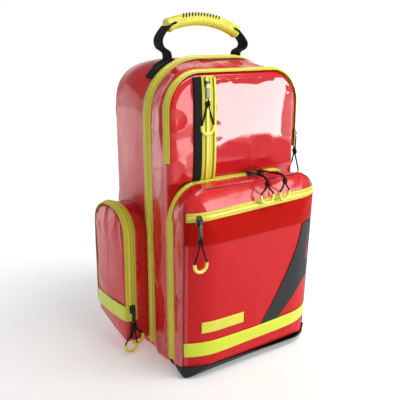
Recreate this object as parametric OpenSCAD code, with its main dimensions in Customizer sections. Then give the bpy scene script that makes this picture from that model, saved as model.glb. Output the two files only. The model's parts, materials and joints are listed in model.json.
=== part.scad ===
// Trauma backpack: padded rear compartment, hinged lid with an upper panel and a front
// pocket, two side pockets, carry handle, shoulder harness, zip sliders and buckles.
// Millimetres. X to the viewer's right, Y towards the wearer, Z up, floor at Z = 0.

/* [Body] */
// Width of the main compartment
body_w = 256; // [210:1:310]
// Height of the main compartment
body_h = 510; // [425:1:615]
// Depth of the rear compartment, from the main zip to the back panel
rear_depth = 125; // [100:1:155]
// Distance from the base centre forward to the main zip
zip_offset = 25; // [15:1:40]
// Radius of the top corners at the main zip
crown_r = 90; // [60:1:100]
// Radius of the bottom corners
base_r = 12; // [6:1:18]
// Radius of the vertical edges at the back
rear_r = 22; // [12:1:30]
// Thickness of a padded fabric wall
wall = 3.5; // [2.5:0.1:5]
// Thickness of the padded back panel
back_t = 7; // [5:0.5:10]

/* [Lid] */
// Depth of the lid, from the main zip to the front zips
lid_depth = 64; // [50:1:80]
// Width of the lid at its front
lid_w = 264; // [220:1:320]
// Height of the lid at its front
lid_h = 493; // [410:1:600]
// Radius of the lid's front top corners
lid_r = 58; // [40:1:80]
// Height of the fold line that the upper panel hangs on
fold_z = 346; // [336:1:380]
// Distance the upper panel stands forward of its zip
panel_rise = 7; // [5:1:10]

/* [Front pocket] */
// Width of the front pocket at its zip
pocket_w = 258; // [215:1:310]
// Width of the front pocket at its face
pocket_face_w = 272; // [226:1:316]
// Height of the front pocket
pocket_h = 316; // [262:1:320]
// Depth of the front pocket's gusset
pocket_depth = 49; // [40:1:60]
// Depth of the rounded edge of the pocket's face
pocket_crown = 18; // [10:1:22]
// Radius of the pocket's top corners at its zip
pocket_r = 60; // [40:1:75]
// Radius of the pocket's top corners at its face
pocket_face_r = 42; // [30:1:60]
// Height of the black boot at the pocket's face
boot_h = 20; // [12:1:28]
// Width of the reflective strips
strip_w = 25; // [20:1:50]
// Height of the front strip's lower edge
strip_z = 36; // [24:1:60]
// Width of the hook-and-loop band
loop_w = 39; // [25:1:50]
// Height of the hook-and-loop band's lower edge
loop_z = 226; // [150:1:230]

/* [Side pockets] */
// Width of a side pocket, front to back
side_w = 112; // [90:1:114]
// Distance from the main zip back to a side pocket
side_gap = 8; // [6:1:14]
// How far a side pocket stands out
side_depth = 51; // [42:1:62]
// Height of a side pocket's lower edge
side_z0 = 16; // [6:1:30]
// Height of a side pocket's upper edge
side_z1 = 262; // [215:1:315]
// Radius of a side pocket's top corners
side_r = 46; // [30:1:50]
// Height of the fold line that a side flap hangs on
flap_z = 60; // [48:1:62]

/* [Zips] */
// Full width of a closed zip
zip_w = 28; // [20:1:34]
// Thickness of a zip tape
tape_t = 1.2; // [0.8:0.1:2]
// Length of a zip pull, from its pin to the end of its loop
pull_len = 84; // [70:1:100]

/* [Handle] */
// Half distance between the handle's feet
handle_x = 75; // [60:1:90]
// Width of the handle's webbing
handle_web_w = 25; // [20:1:30]
// Diameter of the grip
grip_d = 21; // [16:1:25]
// Height of the grip above the handle's hinge
grip_rise = 38; // [32:1:50]

/* [Harness] */
// Half distance between the straps at the top
strap_x = 48; // [44:1:56]
// Width of a shoulder strap
strap_w = 60; // [45:1:66]
// Thickness of a shoulder strap
strap_t = 14; // [8:1:18]
// Outward lean of a shoulder strap, in degrees
strap_lean = 6; // [2:1:8]
// Width of the harness webbing
web_w = 25; // [20:1:30]
// Thickness of a back pad
pad_t = 12; // [8:1:16]

/* [Hidden] */
$fn = 48;
gap = 0.3;         // clear distance between separate bodies
skin = 0.8;        // thickness of a strip or band sewn on the face
crown_reach = 56;  // width of the rounded edge of the pocket's face
crown_mid = 5;     // extra fullness in the middle of the face
crown_skew = 0.5;  // how far the fullness sits below the middle
web_t = 2;         // thickness of webbing
sheet_t = 1;       // thickness of the clear window
cord_d = 2.4;      // diameter of the cord in a pull
tube_d = 5.5;      // diameter of the tube on a pull's loop
knot_d = 8;        // diameter of the knot in a pull
loop_r = 11.3;     // radius of a pull's loop, at the middle of the tube
tab_len = 30;      // length of a pull's tab
pin_h = 5.8;       // height of a pull's pin above the tape
pin_r = 1;         // radius of a pull's pin
slide_l = 16;      // length of a slider's housing
slide_w = 10;      // width of a slider's housing

zip_y = -zip_offset;                    // main zip plane
rear_y = zip_y + rear_depth;            // back panel's outer face
mid_y = zip_y - lid_depth;              // plane of the upper and front zips
panel_y = mid_y - panel_rise;           // upper panel's outer face
face_y = mid_y - gap - pocket_depth;    // edge of the front pocket's face
crease_y = mid_y + 11;                  // step between lid and pocket flange
apron_z = pocket_h + 3;                 // lower edge of the panel above the pocket
side_y = zip_y + side_gap + side_w / 2; // middle of the side pockets
side_x = body_w / 2 + side_depth;       // outer face of the side pockets
side_zip_x = side_x - zip_w / 2;        // zip plane of the side pockets
slash_z = loop_z + loop_w + 9;          // middle of the face's level zip
window_x0 = -50;                        // left edge of the window
window_x1 = lid_w / 2 - 5;              // right edge of the window
strip_x = -87;                          // middle of the vertical webbing strip
window_zip_x = (strip_x + web_w / 3 + window_x0) / 2; // middle of the vertical zip
handle_y = zip_y + zip_w / 2 + 1.5 + handle_web_w / 2; // middle of the handle
patch_t = 1.5;                          // thickness of the handle's patches
crown_drop = crown_r - sqrt(crown_r * crown_r - pow(handle_x - body_w / 2 + crown_r, 2));
hinge_z = body_h - crown_drop + patch_t + handle_web_w / 2 + 1.4; // handle's hinge
pad_y = rear_y + gap;                   // inner face of the back pads
strap_top = body_h - 55;                // height where the shoulder straps start
fin_y = pad_y + pad_t + 1;              // inner face of the hip fins
fin_t = 12;                             // thickness of a hip fin
belt_y = fin_y + fin_t + 0.6;           // inner face of the hip belt's webbing
belt_z = 100;                           // middle height of the hip belt
chest_z = body_h - 125;                 // middle height of the sternum strap
chest_y = rear_y + 65;                  // inner face of the sternum strap
front_y = face_y - pocket_crown - crown_mid;          // foremost point of the face

BODY = [body_w, body_h, crown_r, base_r];
LID = [lid_w, lid_h, lid_r, base_r];
PANEL = [lid_w - 8, lid_h - 5, lid_r - 4, base_r];
POCKET = [pocket_w, pocket_h, pocket_r, base_r];
FACE = [pocket_face_w, pocket_h, pocket_face_r, base_r];
SIDE = [side_w, side_z1 - side_z0, side_r, base_r];

// ---- shared shapes ----

// Outline with rounded corners, standing on the origin, grown by g all round.
// s = [width, height, top radius, bottom radius]
module outline(s, g = 0) {
    w = s[0] + 2 * g;
    h = s[1] + 2 * g;
    top = max(s[2] + g, 2);
    low = max(s[3] + g, 2);
    translate([-w / 2, low - g]) square([w, h - top - low]);
    translate([-w / 2 + top, h - top - g]) square([w - 2 * top, top]);
    translate([-w / 2 + low, -g]) square([w - 2 * low, low]);
    for (side = [-1, 1]) {
        translate([side * (w / 2 - top), h - top - g]) circle(r = top);
        translate([side * (w / 2 - low), low - g]) circle(r = low);
    }
}

// A thin slice of an outline in the plane Y = y, with its outer face on that plane.
module slice(s, y, g = 0, back = false) {
    thin = 0.25;
    translate([0, back ? y : y + thin, 0]) rotate([90, 0, 0]) linear_extrude(thin)
        outline(s, g, $fn = 32);
}

// An outline extruded from Y = y0 forward to Y = y1.
module slab(s, y0, y1, g = 0) {
    translate([0, y0, 0]) rotate([90, 0, 0]) linear_extrude(y0 - y1) outline(s, g);
}

// Rectangle from [x0, y0] to [x1, y1] with its two far corners rounded; the far side
// is at y1, and the corner at x0 is rounded only where the flag is set.
module far_rounded(x0, x1, y0, y1, r, first = true) {
    translate([x0, y0]) square([x1 - x0, y1 - y0 - r]);
    translate([first ? x0 + r : x0, y1 - 2 * r])
        square([x1 - x0 - (first ? 2 * r : r), 2 * r]);
    if (first) translate([x0 + r, y1 - r]) circle(r = r);
    translate([x1 - r, y1 - r]) circle(r = r);
}

// Solid of the rear compartment, with its back edges rounded.
module rear_solid(g = 0, y0 = zip_y + gap, y1 = rear_y) {
    half = body_w / 2 + g;
    top = body_h + g;
    r = rear_r + g;
    intersection() {
        slab(BODY, y1, y0, g);
        translate([0, 0, -g]) linear_extrude(top + g) far_rounded(-half, half, y0, y1, r);
        translate([-half, 0, 0]) rotate([90, 0, 90]) linear_extrude(2 * half)
            rotate([0, 0, 90]) mirror([0, 1, 0]) far_rounded(-g, top, y0, y1, r, false);
    }
}

// Solid of the lid, which gets wider and lower towards its front.
module lid_solid(g = 0, y0 = zip_y - gap, y1 = mid_y) {
    hull() {
        slice(BODY, y0, g, true);
        slice(LID, y1, g);
    }
}

// Solid of the panel's rim, which draws in towards the panel's face.
module rim_solid(g = 0, y0 = mid_y - gap, y1 = panel_y) {
    hull() {
        slice(LID, y0, g, true);
        slice(PANEL, y1, g);
    }
}

// Depth of the face's crown where its outline has drawn in by the given inset.
function crown(inset) = pocket_crown * (1 - pow(1 - min(inset / crown_reach, 1), 2))
    + crown_mid * inset * 2 / pocket_face_w;

// Solid of the front pocket: a gusset and a face that is fullest in its lower half.
module pocket_solid(g = 0, y0 = mid_y - gap) {
    hull() {
        slice(POCKET, y0, g, true);
        for (inset = [0, 12, 28, 56, 104])
            translate([0, 0, -crown_skew * inset])
                slice(FACE, face_y - g - crown(inset), g - inset);
    }
}

// A strip or patch of the given thickness lying on the crowned face.
module on_face(x0, x1, z0, z1, t = skin) {
    intersection() {
        difference() {
            translate([0, -t, 0]) pocket_solid();
            pocket_solid();
        }
        translate([x0, front_y - 10, z0]) cube([x1 - x0, face_y - front_y + 10, z1 - z0]);
    }
}

// Everything above height z and between two planes across Y.
module band(z, y0, y1) {
    big = 2 * body_h;
    translate([-big / 2, y1, z]) cube([big, y0 - y1, big]);
}

// Turns a shape made facing -Y at the origin so that it faces out of a side pocket.
module to_side(side) {
    mirror([side > 0 ? 1 : 0, 0, 0]) translate([0, side_y, side_z0]) rotate([0, 0, -90])
        children();
}

// Ribbon with the given thickness along a path of [y, z] points, as wide as w along X.
module ribbon(path, t, w) {
    last = len(path) - 1;
    function dir(i) = let (a = path[max(i - 1, 0)], b = path[min(i + 1, last)],
        d = b - a) d / norm(d);
    function edge(i, s) = path[i] + s * t / 2 * [-dir(i)[1], dir(i)[0]];
    sides = concat([for (i = [0:last]) edge(i, 1)], [for (i = [last:-1:0]) edge(i, -1)]);
    translate([-w / 2, 0, 0]) rotate([90, 0, 90]) linear_extrude(w) polygon(sides);
}

// Flat webbing between two points, its width along X.
module web_run(a, b, w = web_w) {
    hull() {
        translate(a) rotate([0, 90, 0]) cylinder(d = web_t, h = w, center = true, $fn = 16);
        translate(b) rotate([0, 90, 0]) cylinder(d = web_t, h = w, center = true, $fn = 16);
    }
}

// ---- zip hardware, made facing -Y with the tape's surface in the plane Y = 0 ----

// Slider: a housing over the teeth and two cheeks that hold the pull's pin.
module slider() {
    house_t = 3.2;
    cheek_t = 1.2;
    eye_w = 4;
    translate([0, -gap, 0]) rotate([90, 0, 0]) linear_extrude(house_t)
        outline([slide_w, slide_l, 3, 2]);
    for (side = [-1, 1])
        translate([side * (eye_w / 2 + gap + cheek_t / 2), 0, slide_l / 2]) {
            translate([0, -pin_h, 0]) rotate([0, 90, 0])
                cylinder(r = 1.7, h = cheek_t, center = true);
            translate([-cheek_t / 2, -pin_h, -1.7]) cube([cheek_t, pin_h - 2, 3.4]);
        }
    translate([0, -pin_h, slide_l / 2]) rotate([0, 90, 0])
        cylinder(r = pin_r, h = eye_w + 2 * gap + 2 * cheek_t, center = true);
}

// Eye and tab of a pull, hanging from the pin at the origin.
module pull_tab() {
    tab_t = 2.2;
    tab_w = 7;
    difference() {
        union() {
            rotate([0, 90, 0]) cylinder(r = 1.9, h = 4, center = true);
            translate([-2, -tab_t / 2, -5]) cube([4, tab_t, 5]);
        }
        rotate([0, 90, 0]) cylinder(r = pin_r + 0.2, h = 6, center = true);
    }
    translate([-tab_w / 2, -tab_t / 2, -tab_len]) cube([tab_w, tab_t, tab_len - 4]);
}

// Knot, two cords and the curved tube of a pull, hanging from the origin.
module pull_loop(len) {
    knot_z = -knot_d / 2 + 1;
    spread_z = -(len - loop_r - tube_d / 2);
    run = norm([loop_r, spread_z - knot_z]);
    lean = atan2(loop_r, knot_z - spread_z);
    translate([0, 0, knot_z]) sphere(d = knot_d);
    for (side = [-1, 1])
        translate([0, 0, knot_z]) rotate([0, -side * lean, 0])
            translate([0, 0, -run]) cylinder(d = cord_d, h = run);
    translate([0, 0, spread_z]) rotate([90, 0, 0]) rotate([0, 0, 180])
        rotate_extrude(angle = 180) translate([loop_r, 0]) circle(d = tube_d);
}

// Whole pull, straight down from its pin at the origin.
module pull() {
    pull_tab();
    translate([0, 0, -tab_len]) pull_loop(pull_len - tab_len);
}

// Pull with two loops on one tab, a short one turned aside and a long one.
module twin_pull(side) {
    pull_tab();
    translate([side * 1.5, 0, -tab_len + 1]) rotate([0, -side * 16, 0])
        pull_loop(pull_len - tab_len - 12);
    translate([-side * 1.5, 0, -tab_len + 1]) rotate([0, side * 12, 0])
        pull_loop(pull_len - tab_len);
}

// Pull that lies forward over an edge and then hangs down from it.
module bent_pull(reach, drop) {
    rotate([-90, 0, 0]) {
        pull_tab();
        translate([0, 0, -reach]) cylinder(d = cord_d + 1.4, h = reach - tab_len + 1);
    }
    translate([0, -reach, 0]) sphere(d = knot_d - 2);
    translate([0, -reach, 0]) pull_loop(drop);
}

// Seats of the sliders: where the tape's surface is, at the foot of each housing.
module on_right(seat) {
    translate(seat) rotate([0, 0, 90]) children();
}
main_seat = [body_w / 2 + tape_t, zip_y, body_h - crown_r - 68];
upper_seat = [lid_w / 2 + tape_t + 0.4, mid_y, fold_z + 22];
window_seat = [window_zip_x, panel_y - tape_t, lid_h - 10];
slash_x = -120;                         // middle of the level zip's slider
slash_seat = [slash_x, face_y - crown(36) - tape_t - 1.5, slash_z - slide_l / 2];
pocket_seat_y = panel_y - slide_l / 2 - 2;
pocket_seats = [[21, pocket_seat_y, pocket_h + tape_t], [43, pocket_seat_y, pocket_h + tape_t]];
pocket_yaws = [8, -8];                  // how far the pocket's two sliders turn apart
pocket_reach = pocket_depth + 7;        // how far forward their pulls lie
pocket_drop = 36;                       // how far their pulls hang over the edge
side_seat = [side_zip_x, side_y - side_w / 2 - tape_t, flap_z + 18];

// ---- rear compartment ----

module rear_shell() {
    color("crimson") difference() {
        rear_solid();
        rear_solid(-wall, zip_y, rear_y + 1);
        translate([-body_w, rear_y - back_t, -1]) cube([2 * body_w, back_t + 1, body_h + 2]);
    }
}

module back_panel() {
    color("dimgray") intersection() {
        rear_solid();
        translate([-body_w, rear_y - back_t, -1]) cube([2 * body_w, back_t + 1, body_h + 2]);
    }
}

module back_pads() {
    pad_w = body_w - 106;
    color("black") {
        translate([0, pad_y + pad_t, body_h - 285]) slab([pad_w, 205, 24, 24], 0, -pad_t);
        translate([0, pad_y + pad_t, 55]) slab([pad_w, 130, 24, 24], 0, -pad_t);
    }
}

// Tape half of the main zip behind its teeth.
module main_zip_rear() {
    color("yellow") intersection() {
        difference() {
            rear_solid(tape_t);
            rear_solid();
        }
        band(base_r, zip_y + side_gap, zip_y + gap);
    }
}

module handle_patches() {
    reach = 38;
    color("black") intersection() {
        difference() {
            rear_solid(patch_t);
            rear_solid();
        }
        for (side = [-1, 1])
            translate([side * (handle_x + reach / 2 - 5) - reach / 2, handle_y - handle_web_w / 2,
                body_h - crown_r]) cube([reach, handle_web_w, crown_r + patch_t]);
    }
}

strap_path = [[rear_y + 3.8, -2], [rear_y + 26, 12], [rear_y + 42, 2], [rear_y + 52, -30],
    [rear_y + 57, -80], [rear_y + 58, -140], [rear_y + 55, -200], [rear_y + 47, -255]];
strap_end = strap_path[len(strap_path) - 1];

// Puts a shape made at the strap's top, with its middle on X = 0, at one shoulder.
module at_strap(side) {
    translate([side * strap_x, 0, strap_top]) rotate([0, -side * strap_lean, 0]) children();
}

module shoulder_straps() {
    color("black") for (side = [-1, 1]) at_strap(side) ribbon(strap_path, strap_t, strap_w);
}

// Where the load lifter's webbing starts on the strap and ends on the back panel.
function unit(v) = v / norm(v);
lifter_bend = unit(strap_path[3] - strap_path[1]);
lifter_edge = strap_path[2] + strap_t / 2 * [-lifter_bend[1], lifter_bend[0]];
lifter_end = [rear_y + web_t / 2, 44];
lifter_run = unit(lifter_end - lifter_edge);
lifter_start = lifter_edge + (web_t / 2 + 0.02) * [lifter_run[1], -lifter_run[0]];

lock_x = strap_x - strap_end[1] * sin(strap_lean);   // middle of a ladder lock
lock_z = strap_top + strap_end[1] * cos(strap_lean) - 12;
lock_y = strap_end[0] - 2;
anchor = [body_w / 2 - 24, rear_y + web_t / 2, 40];  // lower end of the webbing

module strap_webbing() {
    color("black") for (side = [-1, 1]) {
        web_run([side * lock_x, lock_y, lock_z - 10], [side * anchor[0], anchor[1], anchor[2]]);
        at_strap(side) web_run([0, lifter_start[0], lifter_start[1]],
            [0, lifter_end[0], lifter_end[1]]);
    }
}

// Buckles that the lower webbing runs through.
module ladder_locks() {
    lock_w = web_w + 9;
    color("black") for (side = [-1, 1])
        translate([side * lock_x, lock_y, lock_z]) rotate([0, -side * strap_lean, 0])
            difference() {
                translate([-lock_w / 2, -3, -8]) cube([lock_w, 6, 18]);
                for (z = [-5, 1]) translate([-web_w / 2 - 1, -4, z])
                    cube([web_w + 2, 8, 3.4]);
            }
}

module hip_fins() {
    fin_w = body_w / 2 - 74;
    color("black") for (side = [-1, 1])
        translate([side * (20 + fin_w / 2), fin_y + fin_t, belt_z - 26])
            slab([fin_w, 52, 10, 10], 0, -fin_t);
}

// Female half of a side-release buckle with its webbing, facing +Y; mouth at X = 0.
module socket(w, run) {
    body_l = 26;
    t = 9;
    difference() {
        translate([-body_l, 0, -w / 2 - 4]) cube([body_l, t, w + 8]);
        translate([-body_l + 4, 2, -w / 2 - 1]) cube([body_l, t - 4, w + 2]);
        for (side = [-1, 1]) translate([-body_l / 2 - 3, 2, side * (w / 2 + 2) - 4])
            cube([9, t - 4, 8]);
    }
    translate([-body_l - run, 0, -w / 2]) cube([run, web_t, w]);
}

// Male half of the buckle with its webbing; it enters the socket from +X.
module plug(w, run) {
    prong_l = 19;
    t = 9;
    translate([0.4, 0, -w / 2 - 4]) cube([9, t, w + 8]);
    for (side = [-1, 1]) translate([-prong_l, 2.4, side * (w / 2 - 2) - 2])
        cube([prong_l + 1, t - 4.8, 4]);
    translate([-prong_l + 4, 2.4, -2]) cube([prong_l - 3, t - 4.8, 4]);
    translate([9.4, 0, -w / 2]) cube([run, web_t, w]);
}

module hip_socket() {
    color("black") translate([2, belt_y, belt_z]) socket(web_w, 44);
}

module hip_plug() {
    color("black") translate([2, belt_y, belt_z]) plug(web_w, 52);
}

module sternum_socket() {
    color("black") translate([4, chest_y, chest_z]) socket(20, 36);
}

module sternum_plug() {
    color("black") translate([4, chest_y, chest_z]) plug(20, 44);
}

module inner_shelf() {
    margin = 2;
    shelf_t = 8;
    color("gray") translate([-body_w / 2 + wall + margin, zip_y + 18, 240])
        cube([body_w - 2 * wall - 2 * margin, rear_depth - back_t - 19, shelf_t]);
}

// Row of elastic loops that hold ampoules and instruments.
module elastic_loops() {
    loop_n = 6;
    pitch = (body_w - 52) / loop_n;
    y = rear_y - back_t;
    color("black") translate([0, y - web_t, body_h - 130]) {
        translate([-pitch * loop_n / 2, 0, 0]) cube([pitch * loop_n, web_t, 30]);
        for (i = [0:loop_n - 1])
            translate([(i - (loop_n - 1) / 2) * pitch, 0.5, 0]) intersection() {
                difference() {
                    cylinder(r = pitch / 2 - 3, h = 30);
                    translate([0, 0, -1]) cylinder(r = pitch / 2 - 4.6, h = 32);
                }
                translate([-20, -20, 0]) cube([40, 20, 30]);
            }
    }
}

// ---- side pockets ----

// Solid of a side pocket in its own frame, from the body out to y1.
module side_solid(g = 0, y0, y1) {
    slab(SIDE, -y0, -y1, g);
}

module side_tray(side) {
    root_x = body_w / 2 - 12;
    color("crimson") difference() {
        union() {
            to_side(side) side_solid(0, root_x, side_zip_x - gap);
            to_side(side) intersection() {
                side_solid(0, root_x, side_x);
                translate([-side_w, -side_x - 1, -1])
                    cube([2 * side_w, side_x, flap_z - gap - side_z0 + 1]);
            }
        }
        to_side(side) side_solid(-wall, root_x - 1, side_x - wall);
        rear_solid();
    }
}

module side_tray_left() { side_tray(-1); }
module side_tray_right() { side_tray(1); }

module side_tray_tapes() {
    color("yellow") for (side = [-1, 1]) intersection() {
        to_side(side) difference() {
            side_solid(tape_t, side_zip_x - zip_w / 2, side_zip_x - gap);
            side_solid(0, side_zip_x - zip_w, side_x);
        }
        translate([-2 * body_w, -body_w, flap_z]) cube([4 * body_w, 2 * body_w, body_h]);
    }
}

module side_flap(side) {
    color("crimson") to_side(side) intersection() {
        difference() {
            side_solid(0, side_zip_x, side_x);
            side_solid(-wall, side_zip_x - 1, side_x - wall);
        }
        translate([-side_w, -side_x - 1, flap_z - side_z0]) cube([2 * side_w, side_x, side_z1]);
    }
}

module side_flap_tape(side) {
    color("yellow") to_side(side) intersection() {
        difference() {
            side_solid(tape_t, side_zip_x, side_x - 1);
            side_solid(0, side_zip_x - 1, side_x);
        }
        translate([-side_w, -side_x - 1, flap_z - side_z0]) cube([2 * side_w, side_x, side_z1]);
    }
}

module side_flap_strip(side) {
    color("greenyellow") to_side(side)
        translate([-side_w / 2, -side_x - skin, flap_z - side_z0 + 3])
            cube([side_w, skin, strip_w + 4]);
}

module flap_left() { side_flap(-1); }
module flap_tape_left() { side_flap_tape(-1); }
module flap_strip_left() { side_flap_strip(-1); }
module flap_right() { side_flap(1); }
module flap_tape_right() { side_flap_tape(1); }
module flap_strip_right() { side_flap_strip(1); }

// ---- lid ----

// Lid: gusset, the front wall behind the pocket, the pocket's flange and the apron
// of the upper panel below its fold.
module lid_shell() {
    color("crimson") {
        difference() {
            lid_solid();
            lid_solid(-wall, zip_y, mid_y - 1);
            translate([-body_w, mid_y - 1, -1]) cube([2 * body_w, crease_y - mid_y + 1, apron_z + 1]);
        }
        intersection() {
            lid_solid(-wall, zip_y, mid_y - 1);
            translate([-body_w, crease_y, 0]) cube([2 * body_w, wall, apron_z]);
        }
        difference() {
            slab(POCKET, crease_y, mid_y);
            slab(POCKET, crease_y + 1, mid_y - 1, -wall);
        }
        intersection() {
            rim_solid(0, mid_y, panel_y);
            translate([-body_w, panel_y, apron_z])
                cube([2 * body_w, panel_rise, fold_z - gap - apron_z]);
        }
    }
}

module lid_partition() {
    color("gray") intersection() {
        lid_solid(-wall, zip_y, mid_y - 1);
        translate([-body_w, zip_y - 10, 0]) cube([2 * body_w, 3, body_h]);
    }
}

module main_zip_front() {
    color("yellow") intersection() {
        difference() {
            lid_solid(tape_t);
            lid_solid();
        }
        band(base_r, zip_y - gap, zip_y - zip_w / 2);
    }
}

// Tape halves on the lid: the upper panel's zip and the front pocket's zip.
module lid_tapes() {
    half = 9;
    color("yellow") {
        intersection() {
            difference() {
                lid_solid(tape_t);
                lid_solid();
            }
            band(fold_z + 5, mid_y + half, mid_y);
        }
        intersection() {
            difference() {
                slab(POCKET, mid_y + half, mid_y, tape_t);
                slab(POCKET, mid_y + half + 1, mid_y - 1);
            }
            band(base_r, mid_y + half, mid_y);
        }
    }
}

// ---- upper panel ----

module upper_panel() {
    color("crimson") difference() {
        rim_solid();
        translate([0, 0, -1]) rim_solid(-wall - 3, mid_y, panel_y + wall);
        translate([-body_w, panel_y - 1, -1]) cube([2 * body_w, panel_rise + 2, fold_z + 1]);
    }
}

// Tape halves on the panel: its own zip and the vertical zip beside the window.
module upper_tapes() {
    color("yellow") {
        intersection() {
            difference() {
                rim_solid(tape_t);
                rim_solid();
            }
            band(fold_z + 5, mid_y - gap, panel_y);
        }
        translate([window_zip_x - zip_w / 2, panel_y - tape_t, fold_z + 1])
            cube([zip_w, tape_t, lid_h - fold_z - 9]);
    }
}

module window() {
    color("pink", 0.5) translate([window_x0, panel_y - sheet_t, fold_z + 1])
        cube([window_x1 - window_x0 - 14, sheet_t, lid_h - fold_z - 18]);
}

module webbing_strip() {
    color("black") translate([strip_x - web_w / 3, panel_y - web_t, fold_z + 1])
        cube([2 / 3 * web_w, web_t, lid_h - fold_z - 18]);
}

// ---- front pocket ----

// Everything under the boot's sloping top edge.
module boot_wedge() {
    depth = mid_y - gap - face_y;
    translate([body_w, mid_y - gap, 0]) rotate([90, 0, -90]) linear_extrude(2 * body_w)
        polygon([[-1, -1], [-1, 0], [depth, boot_h], [2 * depth, boot_h], [2 * depth, -1]]);
}

module pocket_hollow() {
    difference() {
        pocket_solid();
        translate([0, 1, 0]) pocket_solid(-wall, mid_y);
    }
}

module pocket_shell() {
    color("crimson") difference() {
        pocket_hollow();
        boot_wedge();
    }
}

module pocket_boot() {
    color("black") intersection() {
        pocket_hollow();
        boot_wedge();
    }
}

module pocket_strip() {
    half = pocket_face_w / 2 - 6;
    color("greenyellow") on_face(-half, half, strip_z, strip_z + strip_w);
}

module loop_band() {
    half = pocket_face_w / 2 - 6;
    color("darkred") on_face(-half, half, loop_z, loop_z + loop_w);
}

// Tape half of the pocket's own zip, and the level zip across its face.
module pocket_tapes() {
    half = 9;
    face_half = pocket_face_w / 2 - 8;
    color("yellow") {
        intersection() {
            difference() {
                pocket_solid(tape_t);
                pocket_solid(0, mid_y);
            }
            band(base_r, mid_y - gap, mid_y - half);
        }
        on_face(-face_half, face_half, slash_z - 9, slash_z + 9, tape_t);
    }
}

module label_patch() {
    color("yellow") on_face(-110, -29, 76, 95, 1);
}

// ---- carry handle ----

handle_bulge = 18;
handle_leg = [[0, 0], [handle_bulge * 0.7, 8], [handle_bulge, 18], [handle_bulge * 0.8, 28],
    [7, grip_rise]];

module handle_webbing() {
    last = len(handle_leg) - 1;
    color("black") for (side = [-1, 1]) translate([side * handle_x, handle_y, hinge_z]) {
        rotate([0, 90, 0]) cylinder(d = handle_web_w, h = 3, center = true);
        for (i = [0:last - 1]) {
            a = handle_leg[i];
            d = handle_leg[i + 1] - a;
            translate([side * a[0], 0, a[1]]) rotate([0, side * (90 - atan2(d[1], d[0])), 0])
                translate([-1.5, -handle_web_w / 2, 0]) cube([3, handle_web_w, norm(d) + 0.6]);
        }
    }
}

module handle_grip() {
    chord = handle_x + 7;
    arch = 17;
    arc_r = (chord * chord + arch * arch) / (2 * arch);
    half = asin(chord / arc_r);
    color("yellow") difference() {
        translate([0, handle_y, hinge_z + grip_rise + arch - arc_r]) rotate([90, 0, 0])
            rotate([0, 0, 90 - half]) rotate_extrude(angle = 2 * half, $fn = 96)
                translate([arc_r, 0]) circle(d = grip_d);
        handle_webbing();
    }
}

// ---- sliders and pulls ----

module main_slider() {
    color("black") on_right(main_seat) slider();
}
module main_pull() {
    color("gold") on_right(main_seat + [pin_h, 0, slide_l / 2]) pull();
}

module upper_slider() {
    color("black") on_right(upper_seat) slider();
}
module upper_pull() {
    color("gold") on_right(upper_seat + [pin_h, 0, slide_l / 2]) pull();
}

// Sliders on the pocket's top edge lie flat, with their pulls hanging over the face.
module on_pocket(i) {
    translate(pocket_seats[i]) rotate([0, 0, -pocket_yaws[i]]) children();
}
module pocket_slider(i) {
    color("black") on_pocket(i) rotate([-90, 0, 0]) translate([0, 0, -slide_l / 2]) slider();
}
module pocket_pull(i) {
    color("gold") on_pocket(i) translate([0, 0, pin_h]) bent_pull(pocket_reach, pocket_drop);
}
module pocket_slider_a() { pocket_slider(0); }
module pocket_slider_b() { pocket_slider(1); }
module pocket_pull_a() { pocket_pull(0); }
module pocket_pull_b() { pocket_pull(1); }

module slash_slider() {
    color("black") translate(slash_seat) slider();
}
module slash_pull() {
    color("gold") translate(slash_seat + [0, -pin_h, slide_l / 2]) pull();
}

module window_slider() {
    color("black") translate(window_seat) translate([0, 0, -slide_l]) slider();
}
module window_pull() {
    color("gold") translate(window_seat + [0, -pin_h, -slide_l / 2]) pull();
}

// Slider parked at the lower end of the front leg of a side pocket's zip.
module side_slider(side) {
    color("black") translate([side * side_seat[0], side_seat[1], side_seat[2]]) slider();
}
module side_pull(side) {
    color("gold") translate([side * side_seat[0], side_seat[1] - pin_h, side_seat[2] + slide_l / 2])
        twin_pull(side);
}
module side_slider_left() { side_slider(-1); }
module side_slider_right() { side_slider(1); }
module side_pull_left() { side_pull(-1); }
module side_pull_right() { side_pull(1); }

rear_shell();
back_panel();
back_pads();
main_zip_rear();
handle_patches();
shoulder_straps();
strap_webbing();
ladder_locks();
hip_fins();
hip_socket();
sternum_socket();
side_tray_left();
side_tray_right();
side_tray_tapes();
inner_shelf();
elastic_loops();
hip_plug();
sternum_plug();
lid_shell();
lid_partition();
main_zip_front();
lid_tapes();
upper_panel();
upper_tapes();
window();
webbing_strip();
pocket_shell();
pocket_boot();
pocket_strip();
loop_band();
pocket_tapes();
label_patch();
flap_left();
flap_tape_left();
flap_strip_left();
flap_right();
flap_tape_right();
flap_strip_right();
handle_webbing();
handle_grip();
main_slider();
upper_slider();
pocket_slider_a();
pocket_slider_b();
slash_slider();
window_slider();
side_slider_left();
side_slider_right();
main_pull();
upper_pull();
pocket_pull_a();
pocket_pull_b();
slash_pull();
window_pull();
side_pull_left();
side_pull_right();
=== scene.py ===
"""Trauma backpack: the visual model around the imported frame. Metres, Z up, front at -Y."""
import json
import math

import bmesh
import bpy
import numpy as np
from mathutils import Matrix, Vector

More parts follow.
